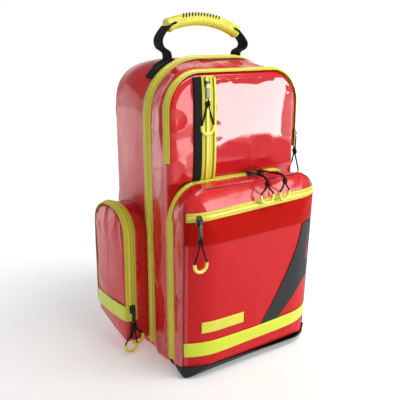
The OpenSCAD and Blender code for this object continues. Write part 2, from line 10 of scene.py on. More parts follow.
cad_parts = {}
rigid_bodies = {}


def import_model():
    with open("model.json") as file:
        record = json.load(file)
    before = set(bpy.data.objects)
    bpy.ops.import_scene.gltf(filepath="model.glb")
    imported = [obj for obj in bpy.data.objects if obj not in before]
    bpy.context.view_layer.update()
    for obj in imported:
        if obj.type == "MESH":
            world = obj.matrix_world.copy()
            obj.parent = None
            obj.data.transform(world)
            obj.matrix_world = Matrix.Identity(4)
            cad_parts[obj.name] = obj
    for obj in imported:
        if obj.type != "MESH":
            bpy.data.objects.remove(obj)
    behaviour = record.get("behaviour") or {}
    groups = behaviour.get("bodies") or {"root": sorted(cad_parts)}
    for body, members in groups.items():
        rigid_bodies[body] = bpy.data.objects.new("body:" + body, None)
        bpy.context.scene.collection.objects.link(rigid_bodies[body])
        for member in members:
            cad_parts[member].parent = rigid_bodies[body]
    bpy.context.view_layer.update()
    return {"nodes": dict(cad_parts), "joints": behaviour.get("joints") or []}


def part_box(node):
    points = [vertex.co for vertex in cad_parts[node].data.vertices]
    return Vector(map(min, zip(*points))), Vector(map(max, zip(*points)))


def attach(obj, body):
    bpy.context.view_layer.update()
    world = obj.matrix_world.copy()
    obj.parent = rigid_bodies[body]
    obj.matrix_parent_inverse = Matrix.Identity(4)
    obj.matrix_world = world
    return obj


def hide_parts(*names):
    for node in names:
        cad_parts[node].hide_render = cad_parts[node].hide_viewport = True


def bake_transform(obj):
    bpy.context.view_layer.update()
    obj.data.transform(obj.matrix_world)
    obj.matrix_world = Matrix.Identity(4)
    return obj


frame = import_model()
scene = bpy.context.scene

# ---------------------------------------------------------------- camera and light
cam_data = bpy.data.cameras.new("camera")
cam_data.lens = 53.4
cam_data.sensor_width = 36
camera = bpy.data.objects.new("camera", cam_data)
camera.location = (-0.608, -0.864, 0.543)
camera.rotation_euler = (math.radians(90 - 15.38), 0, math.radians(-34.8))
scene.collection.objects.link(camera)
scene.camera = camera
scene.view_settings.view_transform = "Standard"


def softbox(name, loc, aim, w, h, radiance):
    """Rectangular studio light of an even radiance."""
    data = bpy.data.lights.new(name, "AREA")
    data.shape = "RECTANGLE"
    data.size = w
    data.size_y = h
    data.energy = math.pi * radiance * w * h
    ob = bpy.data.objects.new(name, data)
    ob.location = loc
    ob.rotation_euler = (Vector(aim) - Vector(loc)).to_track_quat("-Z", "Y").to_euler()
    scene.collection.objects.link(ob)


CENTRE = (0, -0.03, 0.30)
softbox("front_softbox", (0.90, -1.30, 0.42), (0.02, -0.1, 0.40), 1.10, 0.66, 5.2)
softbox("left_softbox", (-0.95, 1.05, 0.30), CENTRE, 1.0, 1.1, 1.1)
softbox("top_softbox", (0.35, -0.75, 1.75), CENTRE, 1.2, 0.9, 5.5)
world = bpy.data.worlds.new("studio")
world.use_nodes = True
sky = world.node_tree
glow = sky.nodes.new("ShaderNodeVectorMath")
glow.operation = "DOT_PRODUCT"
glow.inputs[1].default_value = (0.62, 0.78, -0.05)
ramp = sky.nodes.new("ShaderNodeMapRange")
for key, value in ((1, 0.55), (2, 0.82), (3, 0.30), (4, 1.02)):
    ramp.inputs[key].default_value = value
sky.links.new(sky.nodes.new("ShaderNodeTexCoord").outputs["Generated"], glow.inputs[0])
sky.links.new(glow.outputs["Value"], ramp.inputs[0])
sky.nodes["Background"].inputs[0].default_value = (1, 1, 1, 1)
sky.links.new(ramp.outputs[0], sky.nodes["Background"].inputs[1])
scene.world = world


# ---------------------------------------------------------------- materials
class Shader:
    """A Principled material and short ways to add nodes to it."""

    def __init__(self, name, color, rough, **sockets):
        self.mat = bpy.data.materials.new(name)
        self.mat.use_nodes = True
        self.tree = self.mat.node_tree
        self.bsdf = self.tree.nodes["Principled BSDF"]
        self.set(self.bsdf, "Base Color", (*color, 1))
        self.set(self.bsdf, "Roughness", rough)
        for key, value in sockets.items():
            self.set(self.bsdf, key.replace("_", " "), value)

    def set(self, node, key, value):
        if isinstance(value, bpy.types.NodeSocket):
            self.tree.links.new(value, node.inputs[key])
        else:
            node.inputs[key].default_value = value

    def new(self, kind, inputs=None, **props):
        node = self.tree.nodes.new("ShaderNode" + kind)
        for key, value in props.items():
            setattr(node, key, value)
        for key, value in (inputs or {}).items():
            self.set(node, key, value)
        return node

    def math(self, op, a, b=0.0):
        return self.new("Math", {0: a, 1: b}, operation=op).outputs[0]

    def place(self, uv=False):
        return self.new("TexCoord").outputs["UV" if uv else "Object"]

    def lift(self, a, by):
        """a times by, plus a half."""
        return self.new("Math", {0: a, 1: by, 2: 0.5}, operation="MULTIPLY_ADD").outputs[0]

    def noise(self, scale, detail):
        return self.new("TexNoise", {"Vector": self.place(), "Scale": scale,
                                     "Detail": detail}).outputs["Fac"]

    def wave(self, vector, axis, period):
        """Sine of one coordinate, from 0 to 1."""
        part = self.new("SeparateXYZ", {0: vector}).outputs[axis]
        turn = self.math("MULTIPLY", part, 2 * math.pi / period)
        return self.lift(self.math("SINE", turn), 0.5)

    def tint(self, fac, a, b):
        node = self.new("Mix", {0: fac, 6: (*a, 1), 7: (*b, 1)}, data_type="RGBA")
        self.set(self.bsdf, "Base Color", node.outputs[2])

    def bump(self, height, distance, strength, normal=None):
        inputs = {"Height": height, "Distance": distance, "Strength": strength}
        if normal:
            inputs["Normal"] = normal
        out = self.new("Bump", inputs).outputs[0]
        self.set(self.bsdf, "Normal", out)
        return out

    def rough(self, fac, low, high):
        node = self.new("MapRange", {0: fac, 3: low, 4: high})
        self.set(self.bsdf, "Roughness", node.outputs[0])


def tarpaulin(name, color, shade, rough=(0.20, 0.34), coat=0.6, relief=0.0016, spec=0.3,
              haze=0.09):
    """Glossy coated fabric: soft undulation, fine crinkles and a faint weave."""
    s = Shader(name, color, 0.3, Coat_Weight=coat, Coat_Roughness=haze, Coat_IOR=1.6)
    s.set(s.bsdf, "Specular IOR Level", spec)
    s.tint(s.noise(14, 4), color, shade)
    s.rough(s.noise(55, 3), *rough)
    n = s.bump(s.noise(24, 2), relief, 0.9)
    n = s.bump(s.noise(130, 3), 0.0003, 0.6, n)
    co = s.place()
    weave = s.math("MULTIPLY", s.wave(co, 0, 0.0011), s.wave(co, 2, 0.0011))
    s.bump(weave, 0.00004, 0.5, n)
    return s.mat


def woven(name, color, shade, rib, sheen=0.15, rough=0.75):
    """Webbing woven in ribs along its length, seen in its UV, which is in metres."""
    s = Shader(name, color, rough, Sheen_Weight=sheen, Sheen_Roughness=0.5)
    s.set(s.bsdf, "Specular IOR Level", 0.2)
    uv = s.place(True)
    ribs = s.wave(uv, 1, rib)
    picks = s.wave(uv, 0, rib * 0.6)
    mixed = s.math("MULTIPLY", ribs, picks)
    s.tint(s.lift(s.noise(300, 2), 0.6), shade, color)
    n = s.bump(mixed, 0.0004, 0.9)
    s.bump(s.noise(900, 2), 0.0001, 0.5, n)
    return s.mat


def moulded(name, color, shade, rough=0.42, coat=0.0, grain=0.00006):
    s = Shader(name, color, rough, Coat_Weight=coat, Coat_Roughness=0.2)
    s.tint(s.noise(90, 3), color, shade)
    s.rough(s.noise(220, 3), rough - 0.06, rough + 0.08)
    s.bump(s.noise(900, 2), grain, 0.6)
    return s.mat


def pile(name, color, shade):
    """Matt hook-and-loop pile."""
    s = Shader(name, color, 0.95, Sheen_Weight=0.12, Sheen_Roughness=0.4)
    s.set(s.bsdf, "Specular IOR Level", 0.1)
    s.tint(s.noise(700, 4), color, shade)
    s.bump(s.noise(1100, 3), 0.0006, 0.9)
    return s.mat


def spacer_mesh(name, color, shade):
    """Open three-dimensional mesh over foam."""
    s = Shader(name, color, 0.85, Sheen_Weight=0.2, Sheen_Roughness=0.5)
    cells = s.new("TexVoronoi", {"Vector": s.place(), "Scale": 330.0}).outputs["Distance"]
    # the cells' pits are painted darker than the yarn: painted shade in the mesh's holes
    s.tint(cells, shade, color)
    n = s.bump(s.noise(35, 2), 0.0015, 0.5)
    s.bump(cells, 0.0012, 0.9, n)
    return s.mat


def zip_cloth(name, color, shade):
    """Knitted zip tape: fine ribs across it and a lighter line of stitching at its edge."""
    s = Shader(name, color, 0.55, Sheen_Weight=0.1, Coat_Weight=0.25, Coat_Roughness=0.3)
    uv = s.place(True)
    cross = s.wave(uv, 0, 0.0018)
    along = s.wave(uv, 1, 0.0030)
    s.tint(s.math("MULTIPLY", along, 0.8), color, shade)
    n = s.bump(s.lift(cross, 0.5), 0.0002, 0.6)
    s.bump(along, 0.0005, 0.7, n)
    return s.mat


def reflective(name, color, shade):
    """Fluorescent tape with a fine diamond pattern under a clear face."""
    s = Shader(name, color, 0.33, Coat_Weight=0.5, Coat_Roughness=0.18)
    co = s.place()
    xyz = s.new("SeparateXYZ", {0: co})
    flat = s.math("ADD", xyz.outputs[0], xyz.outputs[1])
    a = s.math("SINE", s.math("MULTIPLY", s.math("ADD", flat, xyz.outputs[2]), 2200))
    b = s.math("SINE", s.math("MULTIPLY", s.math("SUBTRACT", flat, xyz.outputs[2]), 2200))
    diamond = s.lift(s.math("MULTIPLY", a, b), 0.5)
    s.tint(s.lift(s.noise(60, 4), 0.45), color, shade)
    n = s.bump(s.noise(45, 3), 0.0012, 0.8)
    s.bump(diamond, 0.00012, 0.6, n)
    return s.mat


def clear_film():
    """Clear sheet over red fabric, glossy above and dull where it lies on the fabric."""
    s = Shader("clear_film", (0.60, 0.012, 0.016), 0.12, Coat_Roughness=0.03, Coat_IOR=1.6)
    s.tint(s.noise(14, 4), (0.62, 0.012, 0.018), (0.50, 0.008, 0.012))
    xyz = s.new("SeparateXYZ", {0: s.place()}).outputs
    side = s.math("SUBTRACT", xyz[0], 0.03)
    dome = s.math("MULTIPLY", s.math("MULTIPLY", side, side), 2.8)
    wave = s.math("MULTIPLY", s.noise(45, 3), 0.018)
    level = s.math("ADD", s.math("ADD", xyz[2], dome), wave)
    gloss = s.new("MapRange", {0: level, 1: 0.392, 2: 0.398, 3: 0.10, 4: 1.0}).outputs[0]
    s.set(s.bsdf, "Coat Weight", gloss)
    s.set(s.bsdf, "Specular IOR Level", s.math("MULTIPLY", gloss, 0.95))
    s.rough(gloss, 0.34, 0.07)
    s.bump(s.noise(24, 2), 0.0003, 0.8)
    return s.mat


def studio_floor():
    """Pale floor with a glow that rises towards its far side, like a lit cove."""
    s = Shader("studio_floor", (0.88, 0.88, 0.88), 0.8)
    s.set(s.bsdf, "Specular IOR Level", 0.1)
    far = s.new("VectorMath", {0: s.place(), 1: (0.57, 0.82, 0)},
                operation="DOT_PRODUCT").outputs["Value"]
    glow = s.new("MapRange", {0: far, 1: -0.4, 2: 1.5, 3: 0.12, 4: 0.85}).outputs[0]
    s.set(s.bsdf, "Emission Color", (1, 1, 1, 1))
    s.set(s.bsdf, "Emission Strength", glow)
    return s.mat


RED = (0.70, 0.014, 0.018)
YELLOW = (0.80, 0.74, 0.045)
M = {
    "tarp": tarpaulin("red_tarpaulin", RED, (0.60, 0.009, 0.012)),
    "soft": tarpaulin("red_tarpaulin_soft", RED, (0.60, 0.010, 0.014), (0.32, 0.44), 0.55,
                      0.0024, 0.25, 0.16),
    "face": tarpaulin("red_tarpaulin_face", (0.60, 0.014, 0.018), (0.54, 0.010, 0.013),
                      (0.44, 0.56), 0.0, 0.0008, 0.18),
    "film": clear_film(),
    "zip": zip_cloth("zip_tape", YELLOW, (0.52, 0.47, 0.02)),
    "coil": moulded("zip_coil", (0.85, 0.80, 0.07), (0.72, 0.66, 0.04), 0.35, 0.3),
    "strip": reflective("reflective_tape", (0.72, 0.80, 0.006), (0.62, 0.72, 0.004)),
    "pile": pile("loop_pile", (0.50, 0.006, 0.001), (0.40, 0.004, 0.001)),
    # dark red of the line round the pocket face: its seam, with painted shadow of the fold at the
    # face's edge
    "seam": moulded("seam_shadow", (0.10, 0.003, 0.004), (0.06, 0.002, 0.003), 0.6),
    "web": woven("webbing", (0.010, 0.011, 0.010), (0.004, 0.004, 0.004), 0.0022, 0.0, 0.8),
    "mesh": spacer_mesh("spacer_mesh", (0.030, 0.030, 0.033), (0.006, 0.006, 0.007)),
    "plastic": moulded("black_acetal", (0.022, 0.022, 0.023), (0.012, 0.012, 0.012)),
    "metal": moulded("painted_zinc", (0.008, 0.008, 0.009), (0.014, 0.014, 0.015), 0.34, 0.15),
    "silver": moulded("grey_tab", (0.20, 0.20, 0.23), (0.14, 0.14, 0.16), 0.3, 0.4),
    "cord": woven("pull_cord", (0.009, 0.009, 0.009), (0.004, 0.004, 0.004), 0.0012, 0.0, 0.7),
    "tube": moulded("pull_tube", (0.86, 0.82, 0.13), (0.78, 0.73, 0.08), 0.35, 0.5),
    "boot": tarpaulin("boot", (0.014, 0.016, 0.018), (0.008, 0.009, 0.010), (0.45, 0.6), 0.0,
                      0.0008, 0.25),
    "grey": tarpaulin("grey_print", (0.026, 0.029, 0.033), (0.020, 0.022, 0.025),
                      (0.45, 0.6), 0.0, 0.0006, 0.2),
    "label": moulded("woven_label", (0.80, 0.76, 0.05), (0.66, 0.62, 0.03), 0.45, 0.4, 0.00008),
    "grip": moulded("grip", (0.80, 0.77, 0.08), (0.68, 0.64, 0.05), 0.42, 0.15, 0.00005),
    "lining": tarpaulin("lining", (0.20, 0.21, 0.22), (0.14, 0.15, 0.16), (0.5, 0.6), 0.0,
                        0.0006),
    "thread": moulded("thread", (0.80, 0.42, 0.42), (0.62, 0.3, 0.3), 0.6),
    "dark_thread": moulded("dark_thread", (0.05, 0.05, 0.05), (0.03, 0.03, 0.03), 0.6),
    "floor": studio_floor(),
}


# ---------------------------------------------------------------- noise and grids
def lattice(ix, iy, iz, seed):
    n = (ix * 73856093) ^ (iy * 19349663) ^ (iz * 83492791) ^ (seed * 26544357)
    n &= 0x7FFFFFFF
    n = ((n ^ (n >> 13)) * 1274126177) & 0x7FFFFFFF
    return ((n ^ (n >> 16)) & 0xFFFF) / 32767.5 - 1


def value_noise(p, size, seed=0):
    """Smooth noise from -1 to 1 at points p; size is one length or one for each axis."""
    q = p / np.asarray(size, float)
    base = np.floor(q).astype(np.int64)
    f = q - base
    f = f * f * (3 - 2 * f)
    out = 0
    for dx in (0, 1):
        for dy in (0, 1):
            for dz in (0, 1):
                w = ((f[..., 0] if dx else 1 - f[..., 0]) * (f[..., 1] if dy else 1 - f[..., 1])
                     * (f[..., 2] if dz else 1 - f[..., 2]))
                out = out + w * lattice(base[..., 0] + dx, base[..., 1] + dy,
                                        base[..., 2] + dz, seed)
    return out


def normals(G):
    n = np.cross(np.gradient(G, axis=1), np.gradient(G, axis=0))
    return n / (np.linalg.norm(n, axis=-1, keepdims=True) + 1e-12)


def crumple(G, layers, closed=False, core=None):
    """Moves a grid along its normals by layers of (depth, size, seed, sharp, mask); core is
    the direction in which a last row on a middle line moves."""
    shift = np.zeros(G.shape[:2])
    for depth, size, seed, sharp, mask in layers:
        v = value_noise(G, size, seed)
        v = 1 - 2 * np.abs(v) ** 0.7 if sharp else v
        shift += depth * v * (1 if mask is None else mask)
    n = normals(G)
    if core is not None:
        n[-1] = core
    out = G + n * shift[..., None]
    if closed:
        out[:, -1] = out[:, 0]
    return out


def step(v, a, b):
    """Smooth rise from 0 at a to 1 at b."""
    t = np.clip((v - a) / (b - a), 0, 1)
    return t * t * (3 - 2 * t)


def crest(t):
    """Rise from 0 at 0 that levels off at 1."""
    return 1 - (1 - np.clip(t, 0, 1)) ** 2


def distances(P):
    """Distance along a line of points, at each of them."""
    return np.concatenate([[0], np.cumsum(np.linalg.norm(np.diff(P, axis=0), axis=1))])


def directions(P):
    """Direction of a line of points, at each of them."""
    T = np.gradient(P, axis=0)
    return T / np.linalg.norm(T, axis=1, keepdims=True)


def add_mesh(name, verts, faces, mat):
    me = bpy.data.meshes.new(name)
    me.from_pydata([tuple(v) for v in verts], [], faces)
    me.shade_smooth()
    ob = bpy.data.objects.new(name, me)
    scene.collection.objects.link(ob)
    me.materials.append(M[mat])
    return ob


def settle(ob, body, nodes=()):
    """Hides the CAD nodes the piece stands for and puts it on the body it rides on."""
    if nodes:
        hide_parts(*nodes)
    if body:
        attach(ob, body)
    return ob


def weld(ob):
    """Joins points that meet and drops faces with no area."""
    bm = bmesh.new()
    bm.from_mesh(ob.data)
    bmesh.ops.remove_doubles(bm, verts=bm.verts, dist=2e-5)
    bmesh.ops.dissolve_degenerate(bm, edges=bm.edges, dist=1e-6)
    bm.to_mesh(ob.data)
    bm.free()


def sheet_of(name, G, mat, thick=0.0, flip=False, uv=None):
    """Object from a grid of points; it gets thickness away from its outer side."""
    rows, cols = G.shape[:2]
    idx = np.arange(rows * cols).reshape(rows, cols)
    quads = np.stack([idx[:-1, :-1], idx[:-1, 1:], idx[1:, 1:], idx[1:, :-1]], -1)
    quads = quads.reshape(-1, 4)
    if flip:
        quads = quads[:, ::-1]
    ob = add_mesh(name, G.reshape(-1, 3), quads.tolist(), mat)
    if uv is not None:
        layer = ob.data.uv_layers.new(name="UVMap")
        flat = np.stack(uv, -1).reshape(-1, 2)[quads.ravel()]
        layer.data.foreach_set("uv", flat.ravel())
    weld(ob)
    if thick:
        mod = ob.modifiers.new("thickness", "SOLIDIFY")
        mod.thickness = thick
        mod.offset = -1
    return ob


# ---------------------------------------------------------------- outlines
def ring(w, h, rt, rb, inset=0.0, dz=0.0, cut=None):
    """Points and outward directions round an outline with rounded corners, anticlockwise
    from the middle of its base, or from the height cut on the right up and over."""
    hw = w / 2 - inset
    rt = max(rt - inset, 0.0008)
    rb = max(rb - inset, 0.0008)
    z0 = inset + dz
    z1 = h - inset + dz
    pts = []
    out = []

    def line(a, b, n, d):
        t = (np.arange(n) / n)[:, None]
        pts.append(np.array(a) + (np.array(b) - np.array(a)) * t)
        out.append(np.tile(d, (n, 1)))

    def arc(c, r, a, n):
        t = np.radians(a + 90 * np.arange(n) / n)
        d = np.stack([np.cos(t), np.sin(t)], -1)
        pts.append(np.array(c) + r * d)
        out.append(d)

    low = z0 + rb if cut is None else cut
    if cut is None:
        line((0, z0), (hw - rb, z0), 16, (0, -1))
        arc((hw - rb, z0 + rb), rb, -90, 8)
    line((hw, low), (hw, z1 - rt), 90 if cut is None else 46, (1, 0))
    arc((hw - rt, z1 - rt), rt, 0, 36)
    line((hw - rt, z1), (rt - hw, z1), 50, (0, 1))
    arc((rt - hw, z1 - rt), rt, 90, 36)
    line((-hw, z1 - rt), (-hw, low), 90 if cut is None else 46, (-1, 0))
    if cut is None:
        arc((rb - hw, z0 + rb), rb, 180, 8)
        line((rb - hw, z0), (0, z0), 16, (0, -1))
    pts.append(np.array([[0, z0] if cut is None else [-hw, cut]]))
    out.append(np.array([[0, -1] if cut is None else [-1, 0]]))
    return np.concatenate(pts), np.concatenate(out)


def loft(stations, cut=None, close=False):
    """Grid through rings; a station is (outward distance, outline, inset, drop). With
    close the last ring is drawn together on its middle line."""
    rows = []
    for o, s, inset, dz in stations:
        p, _ = ring(*s, inset, dz, cut)
        rows.append(np.stack([p[:, 0], np.full(len(p), o), p[:, 1]], -1))
    if close:
        rows.append(rows[-1] * [0, 1, 1])
    return np.array(rows)


def facing(G, side=0, y=0.0, z=0.0):
    """Turns (across, outward, up) to the frame: side 0 faces -Y, -1 faces -X, 1 faces +X."""
    a, o, up = G[..., 0], G[..., 1], G[..., 2]
    if side == 0:
        return np.stack([a, -o, up], -1)
    return np.stack([side * o, y - a, up + z], -1)


def between(s, t, f):
    return tuple(a + (b - a) * f for a, b in zip(s, t))


def resample(P, N, gap):
    """Even spacing along a curve; returns its points and their directions."""
    d = distances(P)
    t = np.linspace(0, d[-1], max(int(round(d[-1] / gap)), 2) + 1)
    p = np.stack([np.interp(t, d, P[:, k]) for k in range(P.shape[1])], -1)
    n = np.stack([np.interp(t, d, N[:, k]) for k in range(N.shape[1])], -1)
    n /= np.linalg.norm(n, axis=1, keepdims=True)
    return p, n


def zip_half(name, C, up, across, half, body, nodes=(), flip=False, wob=0):
    """Half of a zip: tape with a hemmed edge, and its row of teeth along the middle."""
    n = len(C)
    prof = np.array([(half + .0012, -.0006), (half + .0004, .0013), (half - .0014, .0018),
                     (half - .0034, .0012), (.0058, .0012), (.0040, .0016), (.0034, .0030),
                     (.0022, .0040), (.0010, .0036), (.0004, .0014)])
    tooth = np.where(np.arange(n) % 2 == 0, 1.0, -1.0) * 0.00035
    lift = prof[:, 1][:, None] + np.array([0, 0, 0, 0, 0, 0, .5, 1, 1, 0])[:, None] * tooth
    s = across * prof[:, 0][:, None, None]
    G = C[None] + s + up[None] * lift[..., None]
    if wob:
        w = value_noise(C, 0.035, 5) * wob
        G = G + up[None] * w[None, :, None]
    U = np.tile(distances(C), (len(prof), 1))
    V = np.tile(prof[:, 0][:, None], (1, n))
    ob = sheet_of(name, G, "zip", flip=flip, uv=(U, V))
    ob.data.materials.append(M["coil"])
    first_tooth_row = 5
    for poly in ob.data.polygons:
        if poly.index // (n - 1) >= first_tooth_row:
            poly.material_index = 1
    settle(ob, body, nodes)


def stitches(name, C, up, body, mat="thread", pitch=0.0042, length=0.0026, r=0.00045):
    """A row of short raised stitches along a curve that lies on a surface."""
    P, N = resample(C, up, pitch)
    verts = []
    faces = []
    for p, n, a in zip(P, N, directions(P)):
        side = np.cross(a, n)
        k = len(verts)
        for e in (-0.5, -0.3, 0.3, 0.5):
            rise = r * (0.2 if abs(e) > 0.4 else 1.5)
            for s, h in ((-1, -0.3), (-0.7, 1), (0.7, 1), (1, -0.3)):
                verts.append(p + a * e * length + side * s * r + n * rise * h)
        for j in range(3):
            for i in range(3):
                v = k + 4 * j + i
                faces.append((v, v + 1, v + 5, v + 4))
    return settle(add_mesh(name, verts, faces, mat), body)


def web(name, C, wide, w, body, mat="web", t=0.0022, nodes=()):
    """Flat webbing along points C; wide is its direction across, one for each point."""
    cols = 7
    C = np.asarray(C, float)
    wide = np.broadcast_to(np.asarray(wide, float), C.shape)
    s = np.linspace(-0.5, 0.5, cols)
    G = C[None] + wide[None] * (s * w)[:, None, None]
    up = normals(G)
    G = G + up * ((1 - (2 * np.abs(s)) ** 4) * 0.0004)[:, None, None]
    u = np.tile(distances(C), (cols, 1))
    ob = sheet_of(name, G, mat, t, uv=(u, np.tile(s[:, None] * w, (1, len(C)))))
    ob.modifiers["thickness"].offset = 0
    return settle(ob, body, nodes)


def smooth_path(points, n=40):
    """Even points on a smooth curve through the given ones."""
    P = np.asarray(points, float)
    Q = np.vstack([2 * P[0] - P[1], P, 2 * P[-1] - P[-2]])
    out = []
    for i in range(1, len(Q) - 2):
        for t in np.linspace(0, 1, 12, endpoint=False):
            out.append(0.5 * ((2 * Q[i]) + (Q[i + 1] - Q[i - 1]) * t
                              + (2 * Q[i - 1] - 5 * Q[i] + 4 * Q[i + 1] - Q[i + 2]) * t * t
                              + (3 * Q[i] - Q[i - 1] - 3 * Q[i + 1] + Q[i + 2]) * t ** 3))
    out.append(P[-1])
    out = np.array(out)
    return resample(out, np.ones_like(out), distances(out)[-1] / n)[0]


def tube(name, points, r, mat, body, nodes=(), around=12, radii=None):
    """Round tube along points, with closed ends."""
    P = np.asarray(points, float)
    T = directions(P)
    ref = np.array([0.0, 1.0, 0.0]) if abs(T[0][1]) < 0.9 else np.array([1.0, 0, 0])
    verts = []
    a = np.linspace(0, 2 * np.pi, around, endpoint=False)
    radii = np.full(len(P), r) if radii is None else radii
    for p, t, rad in zip(P, T, radii):
        x = ref - t * np.dot(ref, t)
        x /= np.linalg.norm(x)
        ref = x
        y = np.cross(t, x)
        verts += [p + rad * (math.cos(k) * x + math.sin(k) * y) for k in a]
    faces = []
    for j in range(len(P) - 1):
        for i in range(around):
            k = (i + 1) % around
            faces.append((j * around + i, j * around + k, (j + 1) * around + k,
                          (j + 1) * around + i))
    faces.append(tuple(range(around - 1, -1, -1)))
    faces.append(tuple((len(P) - 1) * around + i for i in range(around)))
    ob = add_mesh(name, verts, faces, mat)
    layer = ob.data.uv_layers.new(name="UVMap")
    u = distances(P)
    for poly in ob.data.polygons:
        for li in poly.loop_indices:
            v = ob.data.loops[li].vertex_index
            layer.data[li].uv = (u[v // around], (v % around) * r * 0.5)
    return settle(ob, body, nodes)


# ---------------------------------------------------------------- sizes from the frame
def corners(node):
    lo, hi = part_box(node)
    return np.array(lo[:]), np.array(hi[:])


ROOT, LID, FLAP, POCKET = "rear_compartment", "main_lid", "upper_flap", "front_pocket"
SIDES = ((-1, "left"), (1, "right"))
GAP = 0.0003            # between pieces that part when the bag opens
TOOTH_PITCH = 0.0012

W = corners("rear_shell")[1][0] * 2
H = corners("rear_shell")[1][2] - 0.002
ZIP_Y = corners("rear_shell")[0][1] - GAP
REAR_Y = corners("back_panel")[1][1]
MID_Y = corners("upper_panel")[1][1] + GAP
PANEL_Y = corners("upper_panel")[0][1]
FOLD_Z = 0.346          # where the upper panel bends
APRON_Z = 0.319         # the panel's lower edge, behind the pocket
POCKET_DEPTH = 0.049
FACE_Y = MID_Y - GAP - POCKET_DEPTH

# outlines: width, height, radius of the upper corners, radius of the lower corners
FOOT_R = 0.012
BODY = (W, H, 0.090, FOOT_R)
FRONT = (0.264, 0.490, 0.058, FOOT_R)
PANEL = (0.256, 0.4855, 0.054, FOOT_R)
PANEL_ZIP = (0.2635, 0.490, 0.0575, FOOT_R)
NECK = (0.258, 0.316, 0.060, FOOT_R)
FACE = (0.272, 0.316, 0.042, FOOT_R)
SIDE = (0.112, 0.246, 0.046, FOOT_R)

WALL_X = 0.1275         # where a side pocket leaves the body
SIDE_X = corners("flap_right")[1][0]
SIDE_ZIP = SIDE_X - 0.014
SIDE_Y = 0.039
SIDE_Z = 0.016
COVER_EDGE = 0.0085     # radius of a side cover's edge
COVER_CROWN = 0.0032
COVER_MOST = 0.0472     # from that edge to the cover's middle line


# ---------------------------------------------------------------- rear compartment
def body_outline(y):
    """The rear compartment's outline, squarer and lower towards the wearer."""
    return (W, H - 0.010 * step(y, ZIP_Y + 0.015, REAR_Y),
            BODY[2] - 0.030 * step(y, ZIP_Y + 0.005, ZIP_Y + 0.085), FOOT_R)


def rear_body():
    rim = ZIP_Y + 0.012
    turn, turn_r = REAR_Y - 0.022, 0.0215
    st = [(-y, body_outline(y), i, 0) for y, i in
          [(ZIP_Y + GAP, 0.0004), (ZIP_Y + 0.004, 0.0), (rim, 0.0)]]
    for f in np.linspace(0.12, 1, 20):
        y = rim + (turn - rim) * f
        st.append((-y, body_outline(y), -0.0026 * math.sin(math.pi * f), 0))
    for a in np.radians(np.linspace(8, 90, 9)):
        y = turn + turn_r * math.sin(a)
        st.append((-y, body_outline(y), turn_r * (1 - math.cos(a)), 0))
    G = facing(loft(st[::-1]))
    from_zip = np.abs(G[..., 1] - ZIP_Y)
    clear = step(from_zip, 0.014, 0.022)
    seam = clear * (1 - step(from_zip, 0.02, 0.05))
    G = crumple(G, [(0.0022, 0.09, 3, False, clear),
                    (0.0014, (0.05, 0.05, 0.03), 4, True, seam),
                    (0.0020, (0.08, 0.10, 0.05), 9, True, clear * step(G[..., 2], 0.25, 0.45))],
                True)
    G[..., 2] = np.maximum(G[..., 2], 0.0002)
    settle(sheet_of("rear_cover", G, "soft", 0.003), ROOT, ["rear_shell"])


def zip_path(s, y, out, low=FOOT_R):
    """Line of a zip up one side of an outline, over and down the other, with its outward
    directions. It stands out from the outline and ends at the height low."""
    p, n = ring(*s)
    keep = p[:, 1] > low + 1e-6
    P, N = resample(p[keep], n[keep], TOOTH_PITCH)
    C = np.stack([P[:, 0] + N[:, 0] * out, np.full(len(P), y), P[:, 1] + N[:, 1] * out], -1)
    return C, np.stack([N[:, 0], np.zeros(len(P)), N[:, 1]], -1)


BACK = np.array([0, 1.0, 0])
AHEAD = -BACK


def lid_cover():
    st = []
    for f in np.linspace(0, 1, 22):
        y = ZIP_Y - GAP + (MID_Y - ZIP_Y + 2 * GAP) * f
        st.append((-y, between(BODY, FRONT, f), -0.0018 * math.sin(math.pi * f), 0))
    G = facing(loft(st))
    clear = (step(np.abs(G[..., 1] - ZIP_Y), 0.014, 0.020)
             * step(np.abs(G[..., 1] - MID_Y), 0.011, 0.017))
    G = crumple(G, [(0.0018, 0.07, 13, False, clear),
                    (0.0018, (0.03, 0.05, 0.030), 14, True, clear),
                    (0.0020, (0.06, 0.03, 0.07), 15, True, clear)], True)
    G[..., 2] = np.maximum(G[..., 2], 0.0002)
    settle(sheet_of("lid_cover", G, "tarp", 0.003), LID, ["lid_shell"])


def filled(name, s, y, mat, body, nodes, inset=0.004, crown=0.0, seed=0, back=False,
           thick=0.003, quilt=0.0):
    """Padded sheet that fills an outline across the bag; quilt is its channels' spacing."""
    room = s[0] / 2 - 0.0005 - inset
    G = facing(loft([(-y, s, inset + room * f, 0) for f in np.linspace(0, 1, 34)], close=True))
    edge = np.append(np.linspace(0, 1, 34), 1)[:, None] * room
    lift = crown * crest(edge / 0.03)
    if quilt:
        channel = np.exp(-((G[..., 2] % quilt - quilt / 2) / 0.0025) ** 2)
        lift = lift - 0.0022 * channel * (edge > 0.004)
    G[..., 1] += (1 if back else -1) * lift
    G = crumple(G, [(0.0008, 0.05, 20 + seed, False, None)], True, (0, -1, 0))
    settle(sheet_of(name, G, mat, thick, flip=back), body, nodes)


# ---------------------------------------------------------------- upper panel
def panel_face(x, z):
    """How far the panel's face stands forward of its edge, at a point of it."""
    u = np.clip(np.abs(x) / 0.128, 0, 1)
    v = np.clip((z - APRON_Z) / (0.488 - APRON_Z), 0, 1)
    return 0.0052 * (1 - u ** 4) * (1 - (2 * v - 1) ** 4) ** 0.8


def bend_at_fold(ob, nodes=()):
    """Settles a piece of the upper panel on no body and bakes its place into its points."""
    settle(ob, None, nodes)
    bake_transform(ob)


